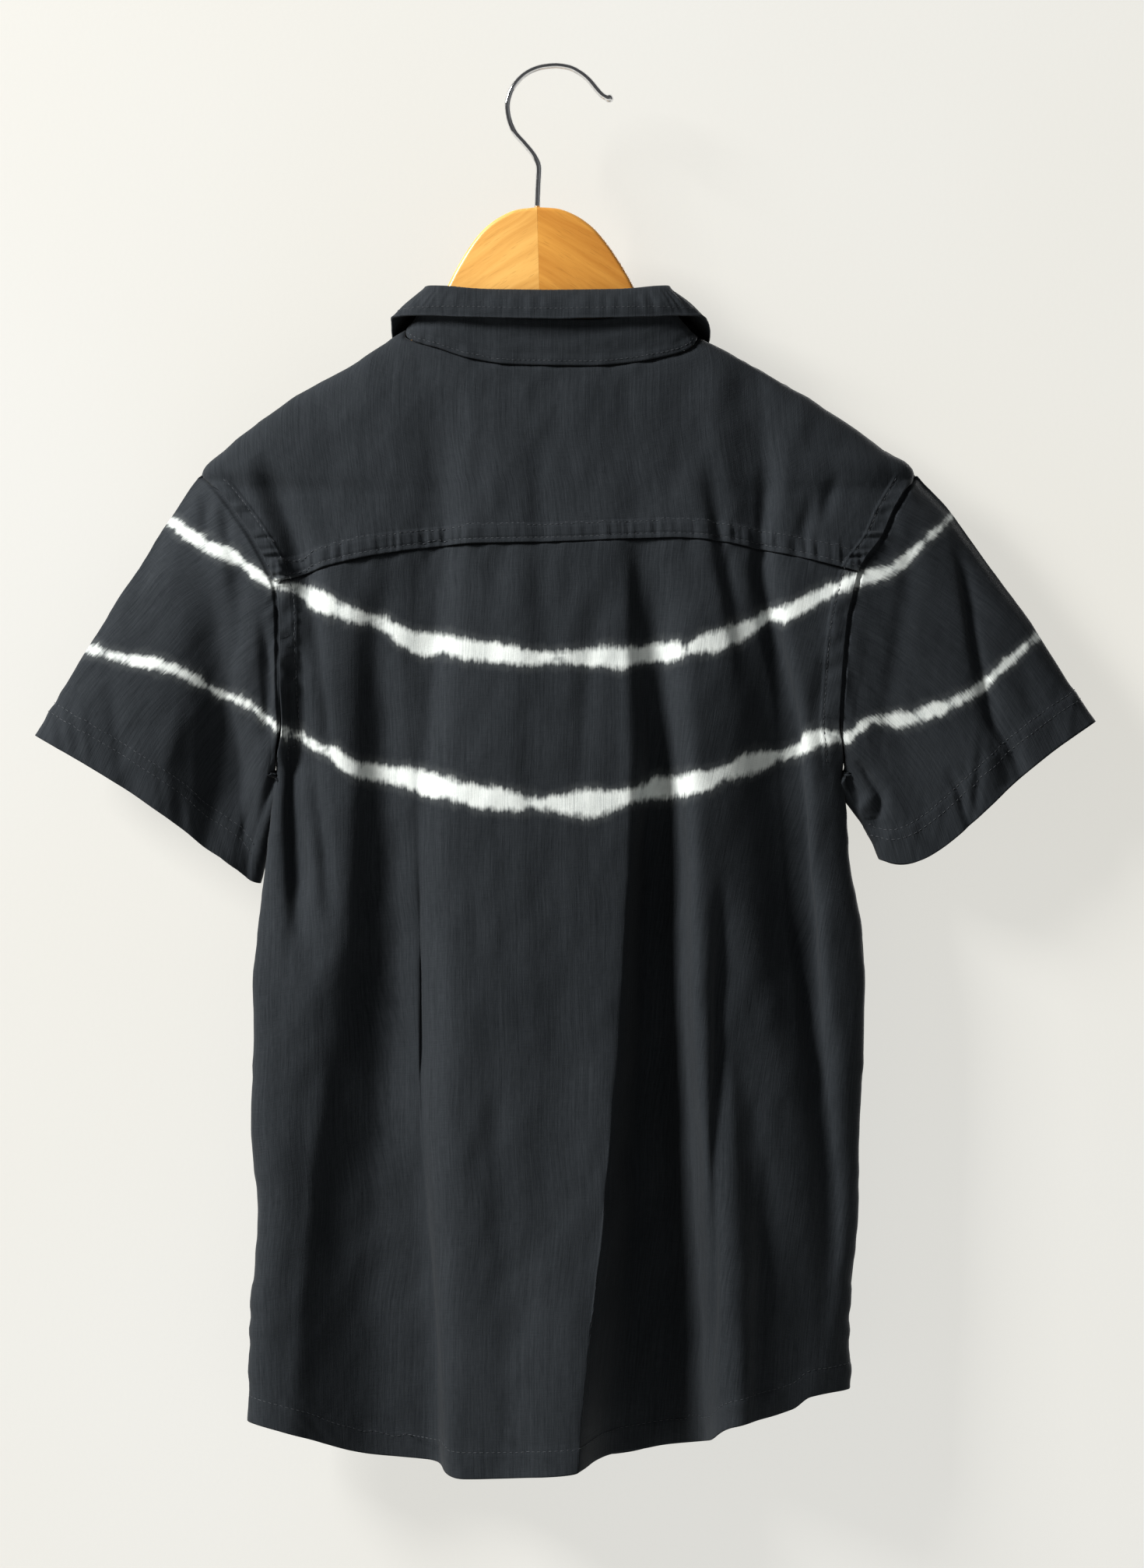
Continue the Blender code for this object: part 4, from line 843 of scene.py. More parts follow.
def yoke_back_point(u, v):
    """The yoke's back: v = 0.5 meets both shoulder points."""
    n = spread(2 * u - 1)
    neck, seam = smooth(NECK_BACK, n), smooth(YOKE_SEAM, n) + YOKE_LAP
    at_shoulder = np.interp(n, (-1, 1), [
        (SHOULDER_DROP - NECK_DROP[side]) / (YOKE_SEAM[end, 1] + YOKE_LAP - NECK_DROP[side])
        for side, end in ((-1, 0), (1, -1))])
    share = np.where(v <= 0.5, at_shoulder * v / 0.5, at_shoulder + (1 - at_shoulder) * (v - 0.5) / 0.5)
    drop = neck + share * (seam - neck)
    return x_at(n, drop), back_y(n, drop), -drop


def armhole_band(away, along, seed):
    """The body's raised band beside the armhole: away is the distance inside its edge."""
    return (-0.9 * (1 - ramp(away, SEAM_ALLOWANCE, SEAM_ALLOWANCE + 1.2)) + 0.4 * dent(away - STITCH_FAR, 0.8)
            + pucker(along, away - 4.5, seed, reach=4.5, pitch=2.0, depth=1.6, strength=1.0))


def armhole_opening(drop):
    """1 beside the armhole and 0 below the armpit."""
    return 1 - ramp(drop, ARMPIT_DROP - 14, ARMPIT_DROP)


def yoke_back_depth(u, v, x, drop):
    n = across(x, drop)
    above = smooth(YOKE_SEAM, n) + YOKE_LAP - drop
    band = -0.75 * (1 - ramp(above, SEAM_ALLOWANCE + 0.3, SEAM_ALLOWANCE + 1.2))
    rows = 0.35 * (dent(above - STITCH_NEAR - YOKE_LAP, 0.7) + dent(above - STITCH_FAR - YOKE_LAP, 0.8))
    gathers = pucker(x, above - 5, 11, reach=5.0, pitch=1.9, depth=1.0, strength=smooth(YOKE_GATHERS, x))
    edge = np.minimum(x - side_x(-1, drop), side_x(1, drop) - x)
    open_side = ramp(drop, SHOULDER_DROP, SHOULDER_DROP + 5)
    neck = drop - smooth(NECK_BACK, n)
    return (-0.35 + band + rows + gathers + armhole_band(edge, drop, 12) * open_side
            + crease_depth(YOKE_CREASES, x, drop) * ramp(edge, 2, 12)
            + pucker(x, neck, 13, reach=7, pitch=6, depth=0.5)
            + 0.9 * (1 - ramp(neck, 0.6, 2.6)) + rumple(x, drop, 14) * ramp(neck, 0, 12))


def front_yoke_drop(m):
    return FRONT_YOKE_ARMHOLE + (FRONT_YOKE_NECK - FRONT_YOKE_ARMHOLE) * m


def yoke_strip_point(side):
    """The part of the yoke that comes over one shoulder to the front."""
    def place(u, v):
        neck = NECK_DROP[side]
        ridge = np.where(v <= 0.5, neck + (SHOULDER_DROP - neck) * v / 0.5,
                         SHOULDER_DROP + (FRONT_YOKE_ARMHOLE - SHOULDER_DROP) * (v - 0.5) / 0.5)
        share = (ridge - neck) / (FRONT_YOKE_ARMHOLE - neck)
        drop = neck + share * (front_yoke_drop(u) + YOKE_LAP * (u > 0) - neck)
        return front_point(side, u, drop)
    return place


def yoke_strip_depth(side):
    def depth(u, v, x, drop):
        above = front_yoke_drop(u) + YOKE_LAP - drop
        band = -0.6 * (1 - ramp(above, SEAM_ALLOWANCE + 0.4, SEAM_ALLOWANCE + 1.8))
        rows = 0.28 * (dent(above - STITCH_NEAR - YOKE_LAP, 0.6) + dent(above - STITCH_FAR - YOKE_LAP, 0.7))
        edge = np.abs(x - side_x(side, drop))
        open_side = ramp(drop, SHOULDER_DROP, SHOULDER_DROP + 5)
        away = ramp(edge, 0, 6)
        return (-0.35 + (band + rows + pucker(x, above - 5, 21, depth=0.6)) * away
                + armhole_band(edge, drop, 22) * open_side + rumple(x, drop, 14) * away)
    return depth


def make_yoke():
    rows = steps((0,), (0.5, YOKE_UPPER), (0.8, 20), (1.0, 34))
    strip_rows = steps((0,), (0.5, YOKE_UPPER), (1.0, 26))
    columns = np.linspace(0, 1, 321)
    strip_columns = np.linspace(0, 1, 61)
    return cloth_piece("yoke", (
        (columns, rows, yoke_back_point, yoke_back_depth, True),
        (strip_columns, strip_rows, yoke_strip_point(-1), yoke_strip_depth(-1), False),
        (strip_columns, strip_rows, yoke_strip_point(1), yoke_strip_depth(1), True),
    ))


TUCK = 4.5              # how far a panel runs on under the yoke


def back_point(u, v):
    n = spread(2 * u - 1)
    seam = smooth(YOKE_SEAM, n)
    drop = seam + v * (smooth(HEM_BACK, n) - seam)
    return x_at(n, drop), back_y(n, drop), -drop


def hem_depth(to_edge, along, seed, width):
    """A turned-up hem: twice as thick, with a dented row of stitches and slanting pulls along it."""
    return (-0.4 * (1 - ramp(to_edge, width + 0.3, width + 2.2)) + 0.35 * dent(to_edge - width, 0.9)
            + pucker(along + to_edge * 0.8, to_edge - width * 0.6, seed,
                     reach=width * 0.8, pitch=6, depth=0.7))


def under_lap(below):
    """A panel's top edge goes down under the piece that laps over it."""
    return 0.95 * (1 - ramp(below, 0.2, 2.2))


def back_depth(u, v, x, drop):
    n = across(x, drop)
    below = drop - smooth(YOKE_SEAM, n)
    to_hem = smooth(HEM_BACK, n) - drop
    edge = np.minimum(x - side_x(-1, drop), side_x(1, drop) - x)
    open_side = armhole_opening(drop)
    side_seam = (pucker(drop, edge, 35, reach=5, pitch=7, depth=0.7)
                 + 0.5 * dent(edge, 0.8)) * (1 - open_side)
    return (under_lap(below) + pucker(x, below, 31, reach=9, pitch=5, depth=0.7)
            + hem_depth(to_hem, x, 32, BODY_HEM)
            + armhole_band(edge, drop, 33) * open_side * ramp(below, 0, 3)
            + side_seam + crease_depth(BACK_CREASES, x, drop) + rumple(x, drop, 34) * ramp(edge, 0, 10))


def make_back():
    top = -TUCK / 470
    rows = steps((top,), (0.0, 5), (0.012, 9), (0.955, 150), (1.0, 24))
    return cloth_piece("back", ((np.linspace(0, 1, 261), rows, back_point, back_depth, True),))


CHEST_ARMHOLE = 272.0
SIDE_LAP = 1.3          # each front runs on this far under the back's side edge


def front_panel_point(side):
    """A front below the yoke: its upper rows follow the round of the neckline."""
    depth = NECK_FRONT_DROP - NECK_DROP[side]
    start = math.acos((FRONT_YOKE_NECK - NECK_DROP[side]) / depth)

    def place(u, v):
        top = front_yoke_drop(u) - TUCK * ramp(u, 0.0, 0.02) * (1 - ramp(u, 0.97, 1.0))
        chest = CHEST_ARMHOLE + (NECK_FRONT_DROP - CHEST_ARMHOLE) * u
        hem = smooth(HEM_FRONT, side * (1 - u))
        row = v / 0.3
        round_share = ((depth * np.cos(start * (1 - np.minimum(row, 1))) + NECK_DROP[side] - FRONT_YOKE_NECK)
                       / (NECK_FRONT_DROP - FRONT_YOKE_NECK))
        straight_share = np.clip((v - 0.3) / 0.7, 0, 1)
        drop = np.where(row <= 1, top + (chest - top) * round_share, chest + (hem - chest) * straight_share)
        x, y, z = front_point(side, u, drop)
        under = 1 - ramp(u, 0.0, 0.03)
        closed = ramp(drop, ARMPIT_DROP - 8, ARMPIT_DROP + 2)
        return x - side * 0.7 * under * closed, y - SIDE_LAP * under * closed, z
    return place


def front_depth(side):
    def depth(u, v, x, drop):
        below = drop - front_yoke_drop(u)
        to_hem = smooth(HEM_FRONT, side * (1 - u)) - drop
        edge = np.abs(x - side_x(side, drop))
        open_side = armhole_opening(drop)
        from_inner = np.abs(x - inner_x(side, drop))
        placket = ramp(drop, NECK_FRONT_DROP - 1, NECK_FRONT_DROP + 3)
        band = (-0.45 * (1 - ramp(from_inner, 26, 27.2)) + 0.25 * dent(from_inner - PLACKET_ROWS[0], 0.7)
                + 0.25 * dent(from_inner - PLACKET_ROWS[1], 0.7)
                + pucker(drop, from_inner - 13, 41 + side, reach=14, pitch=8, depth=0.6)) * placket
        return (under_lap(below) + pucker(x, below, 43 + side, reach=9, pitch=5, depth=0.6)
                + hem_depth(to_hem, x, 45 + side, BODY_HEM)
                + armhole_band(edge, drop, 47 + side) * open_side * ramp(below, 0, 3) + band
                + crease_depth(FRONT_CREASES, x, drop)
                + rumple(x, drop, 49 + side) * ramp(edge, 0, 10) * ramp(from_inner, 4, 30))
    return depth


def make_fronts():
    made = {}
    rows = steps((0,), (0.02, 8), (0.3, 50), (0.958, 120), (1.0, 26))
    columns = spread(np.linspace(-1, 1, 111)) / 2 + 0.5
    for name, side in (("front_left", -1), ("front_right", 1)):
        made[side] = cloth_piece(name, (
            (columns, rows, front_panel_point(side), front_depth(side), side > 0),))
    return made


def sleeve_point(side):
    """A tube from the armhole to the hem: u runs round from the top edge by the back, v down it."""
    size = SLEEVE[side]

    def place(u, v):
        turn = 2 * np.pi * u
        down = (1 - np.cos(turn)) / 2
        back = u < 0.5
        drop = SHOULDER_DROP + (ARMPIT_DROP - SHOULDER_DROP) * down
        start_x = side_x(side, drop) + side * (SLEEVE_GAP + (ARMPIT_GAP - SLEEVE_GAP) * down ** 5)
        start_y = np.where(back, smooth(TORSO, drop, 3), smooth(TORSO, drop, 4))
        end_x = size["top"][0] + (size["bottom"][0] - size["top"][0]) * down
        end_drop = size["top"][1] + (size["bottom"][1] - size["top"][1]) * down
        end_drop = end_drop + size["sag"] * down ** 3 * (1 - down) - size["arch"] * np.sin(np.pi * down)
        end_drop = end_drop + FRONT_CUFF_LOWER * (~back) * np.abs(np.sin(turn))
        end_y = CUFF_MIDDLE_Y - CUFF_HALF_DEPTH * np.sign(np.sin(turn)) * np.abs(np.sin(turn)) ** 0.8
        x = start_x + (end_x - start_x) * v
        y = start_y + (end_y - start_y) * v
        out = drop + (end_drop - drop) * v
        kept = np.clip(v, 0, 1)
        lift = 6.75 * kept * (1 - kept) ** 2 * size["bulge"] * (1 - down)
        around, along, depth = SLEEVE_TROUGH[side]
        trough = depth * np.exp(-((u - around) / 0.06) ** 2) * np.exp(-((v - along) / 0.38) ** 2)
        trough_front = 0.7 * depth * np.exp(-((u - 0.68) / 0.07) ** 2) * np.exp(-((v - along) / 0.4) ** 2)
        faded = np.minimum(kept / 0.12, 1.0)
        y = y + faded * (trough - trough_front + crease_depth(SLEEVE_BENDS[side], x, out))
        return x + side * lift * 0.8, y, -(out - lift * 0.6)
    return place


def sleeve_length(side, us):
    _, _, at = patch_points(us, np.linspace(0, 1, 60), sleeve_point(side))
    return np.linalg.norm(np.diff(at, axis=0), axis=2).sum(axis=0)


# How far the sleeve's lower fold swells towards the body, and where down it that starts, is full and ends
UNDERARM_FULLNESS = {-1: (5.8, -0.14, 0.03, 3.0), 1: (6.0, -0.14, 0.03, 0.8)}


def sleeve_depth(side):
    def depth(u, v, x, drop):
        round_it = np.linspace(0, 1, 73)
        length = np.interp(u, round_it, sleeve_length(side, round_it))
        to_hem, from_top = (1 - v) * length, v * length
        girth = 75 * (1 - np.cos(2 * np.pi * u))
        behind = 0.35 + 0.65 * ramp(np.sin(2 * np.pi * u), -0.3, 0.3)
        loose = ramp(from_top, 0, 8)
        edge_turn = np.abs(np.sin(2 * np.pi * u))
        creases = crease_depth(SLEEVE_CREASES[side], x, drop) * loose * ramp(edge_turn, 0.0, 0.35) * behind
        swell, start, full, end = UNDERARM_FULLNESS[side]
        underarm = swell * dent((u - 0.5) / 0.03, 1) * ramp(v, start, full) * (1 - ramp(v, full, end))
        return (1.5 * (1 - ramp(from_top, 0.3, 2.6)) - underarm
                + hem_depth(to_hem, girth, 51 + side, SLEEVE_HEM)
                + pucker(girth, from_top, 53 + side, reach=8, pitch=4.5, depth=0.8) * ramp(from_top, 0, 2)
                + creases + rumple(girth, from_top, 55 + side) * loose)
    return depth


def make_sleeves():
    made = {}
    for name, side in (("sleeve_left", -1), ("sleeve_right", 1)):
        rows = steps((-0.02,), (0.0, 3), (0.03, 7), (0.78, 60), (1.0, 30))
        made[side] = cloth_piece(name, (
            (np.linspace(0, 1, 281), rows, sleeve_point(side), sleeve_depth(side), side < 0),))
    return made


def neck_ring(angle):
    """The neck seam, by the angle in degrees from the middle of the back."""
    turn = np.radians(angle)
    side = np.where(angle < 0, -1, 1)
    n = np.sin(turn)
    at_back = np.abs(angle) <= 90
    back_drop = smooth(NECK_BACK, n)
    neck = np.where(side < 0, NECK_DROP[-1], NECK_DROP[1])
    front_drop = neck + (NECK_FRONT_DROP - neck) * np.abs(np.cos(turn))
    front_x = np.where(side < 0, inner_x(-1, front_drop), inner_x(1, front_drop))
    drop = np.where(at_back, back_drop, front_drop)
    x = np.where(at_back, x_at(n, back_drop), front_x)
    y = np.where(at_back, back_y(n, back_drop), front_y(across(front_x, front_drop), front_drop))
    return x, y, drop


def ring_outward(angle, step=5.0):
    """The level direction that points away from the neck."""
    before_x, before_y, _ = neck_ring(np.clip(angle - step, -180, 180))
    after_x, after_y, _ = neck_ring(np.clip(angle + step, -180, 180))
    along_x, along_y = after_x - before_x, after_y - before_y
    length = np.hypot(along_x, along_y)
    return along_y / length, -along_x / length


def by_side(angle, values):
    return np.where(angle < 0, values[-1], values[1])


def stand_height(angle):
    sideways = np.abs(np.sin(np.radians(angle)))
    level = STAND_BACK + (STAND_FRONT - STAND_BACK) * ramp(np.abs(angle), 90, 180)
    return level - STAND_SIDE_DIP * sideways ** 4


def square_corner(angle):
    """How far the upper collar stands back at its two back corners, clear of the hanger's head."""
    return np.where(np.abs(angle) < 90, 2.4 * np.sin(2 * np.radians(angle)) ** 2, 0.0)


def stand_ring(angle, up):
    """The collar stand, from the neck seam (up 0) to its upper edge (up 1)."""
    x, y, drop = neck_ring(angle)
    turn = np.radians(angle)
    sideways = np.abs(np.sin(turn))
    forward = np.maximum(-np.cos(turn), 0.0)
    height = stand_height(angle)
    lean_x = by_side(angle, STAND_LEAN) * sideways ** 3
    lean_y = 5.0 * forward ** 2
    rise = np.sqrt(height ** 2 - np.minimum(lean_x ** 2 + lean_y ** 2, 0.6 * height ** 2))
    side = np.where(angle < 0, -1, 1)
    inset = 2.8 * sideways ** 4
    tuck = 2.4 * ramp(angle, 140, 165)
    return (x - side * (inset + lean_x * up), y - (lean_y + square_corner(angle)) * up - tuck,
            -(drop - SEAM_GAP - rise * up))


def stand_depth(u, v, x, drop):
    angle = 360 * u - 180
    along = angle * 1.05
    return (pucker(along, v * 20, 61, reach=7, pitch=4, depth=0.5) - 0.5 * (1 - ramp(v * 20, 2.0, 4.5))
            + 0.55 * lattice_noise(along / 24, v * 3.4, 62) + 0.25 * lattice_noise(along / 9, v * 5, 63)
            + 0.12 * lattice_noise(along / 3, v * 8, 64))


def make_stand():
    def place(u, v):
        return stand_ring(360 * u - 180, v)
    return cloth_piece("collar_stand", (
        (np.linspace(0, 1, 281), np.linspace(-0.05, 1.05, 28), place, stand_depth, False),),
        STAND_WALL, FOLDED_CLOTH)


def leaf_sections(angle):
    """The leaf's section at an angle: from the stand's edge up, over the fold and down to its edge."""
    turn = np.radians(angle)
    side = np.where(angle < 0, -1, 1)
    size = np.abs(angle)
    sideways = np.abs(np.sin(turn))
    forward = np.maximum(-np.cos(turn), 0.0)
    at_back = size <= 90
    seam_x, seam_y, _ = neck_ring(angle)
    end_x = CENTRE_FRONT + side * 1.4

    corner, widest = (by_side(angle, {s: CENTRE_FRONT + (neck_x(s) - CENTRE_FRONT) * share[s]
                                      for s in (-1, 1)}) for share in (FOLD_REACH, EDGE_REACH))
    reach = 1 - (1 - by_side(angle, FOLD_REACH)) * sideways ** 2
    fold_x = np.where(at_back, CENTRE_FRONT + (seam_x - CENTRE_FRONT) * reach,
                      end_x + (corner - end_x) * sideways)
    fold_y = seam_y - 5.0 * forward ** 2 - square_corner(angle)
    fold_drop = smooth(LEAF_FOLD, size)

    outward_x, outward_y = ring_outward(angle)

    stand_side = by_side(angle, {-1: -1.0, 1: 1.0})
    placket = CENTRE_FRONT - stand_side * PLACKET_HALF
    neck = by_side(angle, {s: neck_x(s) for s in (-1, 1)})
    matched = np.clip(sideways + (end_x - placket) / (neck - placket) * (1 - sideways), 0.0, 1.0)
    stand_angle = np.where(at_back, angle, side * (180 - np.degrees(np.arcsin(matched))))
    low_x, low_y, low_z = stand_ring(stand_angle, 1.0)

    edge_drop = smooth(LEAF_EDGE, size) + RIGHT_EDGE_LOWER * (side > 0) * sideways ** 8
    edge_reach = 1 + (by_side(angle, EDGE_REACH) - 1) * sideways ** 2
    edge_x = np.where(at_back, CENTRE_FRONT + (seam_x - CENTRE_FRONT) * edge_reach,
                      end_x + (widest - end_x) * smooth(LEAF_EDGE, size, 2))
    chest_y = front_y(across(edge_x, edge_drop), edge_drop) + WALL + 2.0
    beside = np.abs(np.cos(turn)) ** 0.7
    edge_y = np.where(at_back, seam_y - LEAF_STAND_OFF * beside,
                      seam_y + (chest_y - seam_y) * ramp(size, 90, 104))

    inner = (low_x + outward_x * 1.7, low_y + outward_y * 1.7,
             low_z + 0.8 + 1.5 * sideways ** 2 + 1.4 * forward)
    inner_top = (fold_x - outward_x * FOLD_HALF, fold_y - outward_y * FOLD_HALF, -(fold_drop + 2.4))
    crest = (fold_x, fold_y, -(fold_drop + LEAF_WALL * 0.6))
    outer_top = (fold_x + outward_x * FOLD_HALF, fold_y + outward_y * FOLD_HALF, -(fold_drop + 2.4))
    edge = (edge_x, edge_y, -edge_drop)
    bulge = 1.0 + 3.5 * forward
    outward = (outward_x * bulge, outward_y * bulge, np.zeros_like(turn))
    upper, lower = (tuple(a + (b - a) * t + o for a, b, o in zip(outer_top, edge, outward))
                    for t in (0.33, 0.67))
    return inner, inner_top, crest, outer_top, upper, lower, edge


def leaf_point(u, v):
    """The leaf's sections joined by a soft curve: v runs from its inner edge over the fold."""
    sections = leaf_sections(LEAF_END * (2 * u - 1))
    last = len(sections) - 1
    at = v * last
    low = np.clip(np.floor(at).astype(int), 0, last - 1)
    t = at - low
    weights = ((-t + 2 * t ** 2 - t ** 3) / 2, (2 - 5 * t ** 2 + 3 * t ** 3) / 2,
               (t + 4 * t ** 2 - 3 * t ** 3) / 2, (t ** 3 - t ** 2) / 2)
    result = []
    for axis in range(3):
        rows = [section[axis] for section in sections]
        rows = [2 * rows[0] - rows[1]] + rows + [2 * rows[-1] - rows[-2]]
        result.append(sum(w * np.choose(low + k, rows) for k, w in enumerate(weights)))
    return tuple(result)


LEAF_STITCH = 5.5       # the leaf's topstitching, from its edge


def leaf_depth(u, v, x, drop):
    angle = LEAF_END * (2 * u - 1)
    along = angle * 1.2
    outer = ramp(v, 0.45, 0.6)
    soft = ramp(np.abs(angle), 90, 120)
    gathers = pucker(along, (v - 0.72) * 24, 71, reach=5, pitch=2.4, depth=0.6) * (1 - soft)
    uneven = 0.3 * lattice_noise(along / 15, v * 4, 72) + 0.12 * lattice_noise(along / 5, v * 9, 73)
    return outer * (gathers + uneven - 0.3 * ramp(v, 0.93, 1.0))


def make_leaf():
    rows = steps((0,), (0.18, 5), (0.5, 13), (1.0, 26))
    return cloth_piece("collar_leaf", (
        (np.linspace(0, 1, 361), rows, leaf_point, leaf_depth, True),), LEAF_WALL, FOLDED_CLOTH, 8)


SHORTEST_STITCH, LONGEST_STITCH = 0.82, 1.08    # shares of a run's usual stitch


def stitch_tree():
    """Nodes that turn each drawn line into a run of stitches."""
    tree = bpy.data.node_groups.new("run_of_stitches", "GeometryNodeTree")
    sides = (("Geometry", "INPUT", "NodeSocketGeometry"), ("Pitch", "INPUT", "NodeSocketFloat"),
             ("Length", "INPUT", "NodeSocketFloat"), ("Thickness", "INPUT", "NodeSocketFloat"),
             ("Thread", "INPUT", "NodeSocketMaterial"), ("Geometry", "OUTPUT", "NodeSocketGeometry"))
    identifiers = {name: tree.interface.new_socket(name=name, in_out=way, socket_type=kind).identifier
                   for name, way, kind in sides}
    nodes = {name: tree.nodes.new(kind) for name, kind in (
        ("begin", "NodeGroupInput"), ("end", "NodeGroupOutput"), ("curve", "GeometryNodeMeshToCurve"),
        ("cut", "GeometryNodeResampleCurve"), ("tangent", "GeometryNodeInputTangent"),
        ("align", "FunctionNodeAlignRotationToVector"), ("bead", "GeometryNodeMeshUVSphere"),
        ("size", "ShaderNodeCombineXYZ"), ("uneven", "FunctionNodeRandomValue"), ("long", "ShaderNodeMath"),
        ("place", "GeometryNodeInstanceOnPoints"), ("real", "GeometryNodeRealizeInstances"),
        ("coat", "GeometryNodeSetMaterial"))}
    nodes["cut"].mode = "LENGTH"
    nodes["align"].axis = "Z"
    nodes["long"].operation = "MULTIPLY"
    for name, inlet, value in (
            ("bead", "Segments", 6), ("bead", "Rings", 4), ("bead", "Radius", 0.5),
            ("uneven", 2, SHORTEST_STITCH), ("uneven", 3, LONGEST_STITCH), ("uneven", "Seed", 7)):
        nodes[name].inputs[inlet].default_value = value
    for source, outlet, target, inlet in (
            ("begin", "Geometry", "curve", "Mesh"), ("curve", "Curve", "cut", "Curve"),
            ("begin", "Pitch", "cut", "Length"), ("cut", "Curve", "place", "Points"),
            ("tangent", "Tangent", "align", "Vector"), ("align", "Rotation", "place", "Rotation"),
            ("bead", "Mesh", "place", "Instance"), ("begin", "Length", "long", 0), ("uneven", 1, "long", 1),
            ("begin", "Thickness", "size", "X"), ("begin", "Thickness", "size", "Y"),
            ("long", 0, "size", "Z"), ("size", "Vector", "place", "Scale"),
            ("place", "Instances", "real", "Geometry"),
            ("real", "Geometry", "coat", "Geometry"), ("begin", "Thread", "coat", "Material"),
            ("coat", "Geometry", "end", 0)):
        tree.links.new(nodes[source].outputs[outlet], nodes[target].inputs[inlet])
    return tree, identifiers


stitches, stitch_inputs = stitch_tree()


def sew(name, lines, pitch=2.9, length=2.3, thickness=0.42):
    """Runs of stitches along lines that lie on the cloth."""
    mesh = bpy.data.meshes.new(f"{name}_lines")
    points, edges = [], []
    for line in lines:
        edges += [(len(points) + k, len(points) + k + 1) for k in range(len(line) - 1)]
        points += line
    mesh.from_pydata(points, edges, [])
    drawn = add_object(f"{name}_lines", mesh)
    run = drawn.modifiers.new("stitches", "NODES")
    run.node_group = stitches
    for inlet, value in (("Pitch", pitch * MM), ("Length", length * MM), ("Thickness", thickness * MM),
                         ("Thread", materials["thread"])):
        run[stitch_inputs[inlet]] = value
    sewn = finished(baked(drawn))
    sewn.name = name
    add_piece(name, sewn, "thread")


def rows_of(points):
    return np.stack(np.broadcast_arrays(*points), axis=-1)


def sew_yoke(tree):
    lines = []
    n = np.linspace(-0.985, 0.985, 260)
    for above in (STITCH_NEAR, STITCH_FAR):
        lines.append(lay(tree, rows_of(yoke_seam_place(n, above))))
    m = np.linspace(0.03, 0.985, 90)
    for side in (-1, 1):
        for above in (STITCH_NEAR, STITCH_FAR):
            lines.append(lay(tree, rows_of(front_point(side, m, front_yoke_drop(m) - above))))
    sew("yoke_stitching", lines)


def armhole_line(side, panel, drops, inset):
    x = side_x(side, drops) - side * inset
    n = across(x, drops)
    y = back_y(n, drops) if panel == "back" else front_y(n, drops)
    return rows_of((x, y, -drops))


def sew_armholes(yoke, back, fronts):
    lines = []
    top, bottom = SHOULDER_DROP + 4, ARMPIT_DROP - 8
    for side in (-1, 1):
        seam = float(smooth(YOKE_SEAM, side))
        for face, panel, start, end, count in (
                (yoke, "back", top, seam - 1, 60), (back, "back", seam + 2, bottom, 90),
                (yoke, "front", top, FRONT_YOKE_ARMHOLE - 2, 30),
                (fronts[side], "front", FRONT_YOKE_ARMHOLE + 2, bottom, 90)):
            lines.append(lay(face, armhole_line(side, panel, np.linspace(start, end, count), STITCH_FAR)))
    sew("armhole_stitching", lines)


def inset_line(face, place, us, inset, reach):
    """A line of stitches that stays so far inside a piece's lower edge."""
    return lay(face, rows_of(place(us, end_inset(place, us, inset, reach))))


def sew_hems(back, fronts, sleeves):
    lines = [inset_line(back, back_point, np.linspace(0.004, 0.996, 260), BODY_HEM, 0.06)]
    for side in (-1, 1):
        us = np.linspace(0.01, 0.97, 140)
        lines.append(inset_line(fronts[side], front_panel_point(side), us, BODY_HEM, 0.06))
        us = np.linspace(0, 1, 240)
        for inset in (SLEEVE_HEM, SLEEVE_HEM - SLEEVE_ROWS):
            lines.append(inset_line(sleeves[side], sleeve_point(side), us, inset, 0.5))
    sew("hem_stitching", lines, pitch=3.1, length=2.4)


def sew_plackets(fronts):
    lines = []
    drops = np.linspace(NECK_FRONT_DROP + 3, 722, 260)
    for side in (-1, 1):
        outer, inner = side_x(side, drops), inner_x(side, drops)
        for inset in PLACKET_ROWS:
            m = (inner + side * inset - outer) / (inner - outer)
            lines.append(lay(fronts[side], rows_of(front_point(side, m, drops))))
    sew("placket_stitching", lines)


def sew_collar(stand, leaf):
    us = np.linspace(0.01, 0.99, 300)
    lines = [lay(stand, rows_of(stand_ring(360 * us - 180, 0.06))),
             inset_line(leaf, leaf_point, us, LEAF_STITCH, 0.4)]
    v = np.linspace(0.6, 0.97, 40)
    for side in (-1, 1):
        lines.append(lay(leaf, rows_of(leaf_point(np.full_like(v, 0.5 + side * 0.49), v))))
    sew("collar_stitching", lines, pitch=2.7, length=2.1, thickness=0.38)


def circle(radius, sides):
    """Points evenly round a circle, as pairs."""
    return [(radius * math.cos(turn), radius * math.sin(turn))
            for turn in (2 * math.pi * k / sides for k in range(sides))]


def turned(profile, segments):
    """A closed turned solid from (radius, height) pairs that start and end on its axis."""
    bm = bmesh.new()
    rings = [[bm.verts.new((x * MM, y * MM, height * MM))
              for x, y in (circle(radius, segments) if radius else [(0, 0)])] for radius, height in profile]
    for low, high in zip(rings, rings[1:]):
        for k in range(segments):
            j = (k + 1) % segments
            corners = [low[k % len(low)], low[j % len(low)], high[j % len(high)], high[k % len(high)]]
            bm.faces.new(list(dict.fromkeys(corners)))
    bmesh.ops.recalc_face_normals(bm, faces=bm.faces)
    return bm


def mesh_from(bm, name):
    """Turn a finished bmesh into a mesh."""
    mesh = bpy.data.meshes.new(name)
    bm.to_mesh(mesh)
    bm.free()
    return mesh


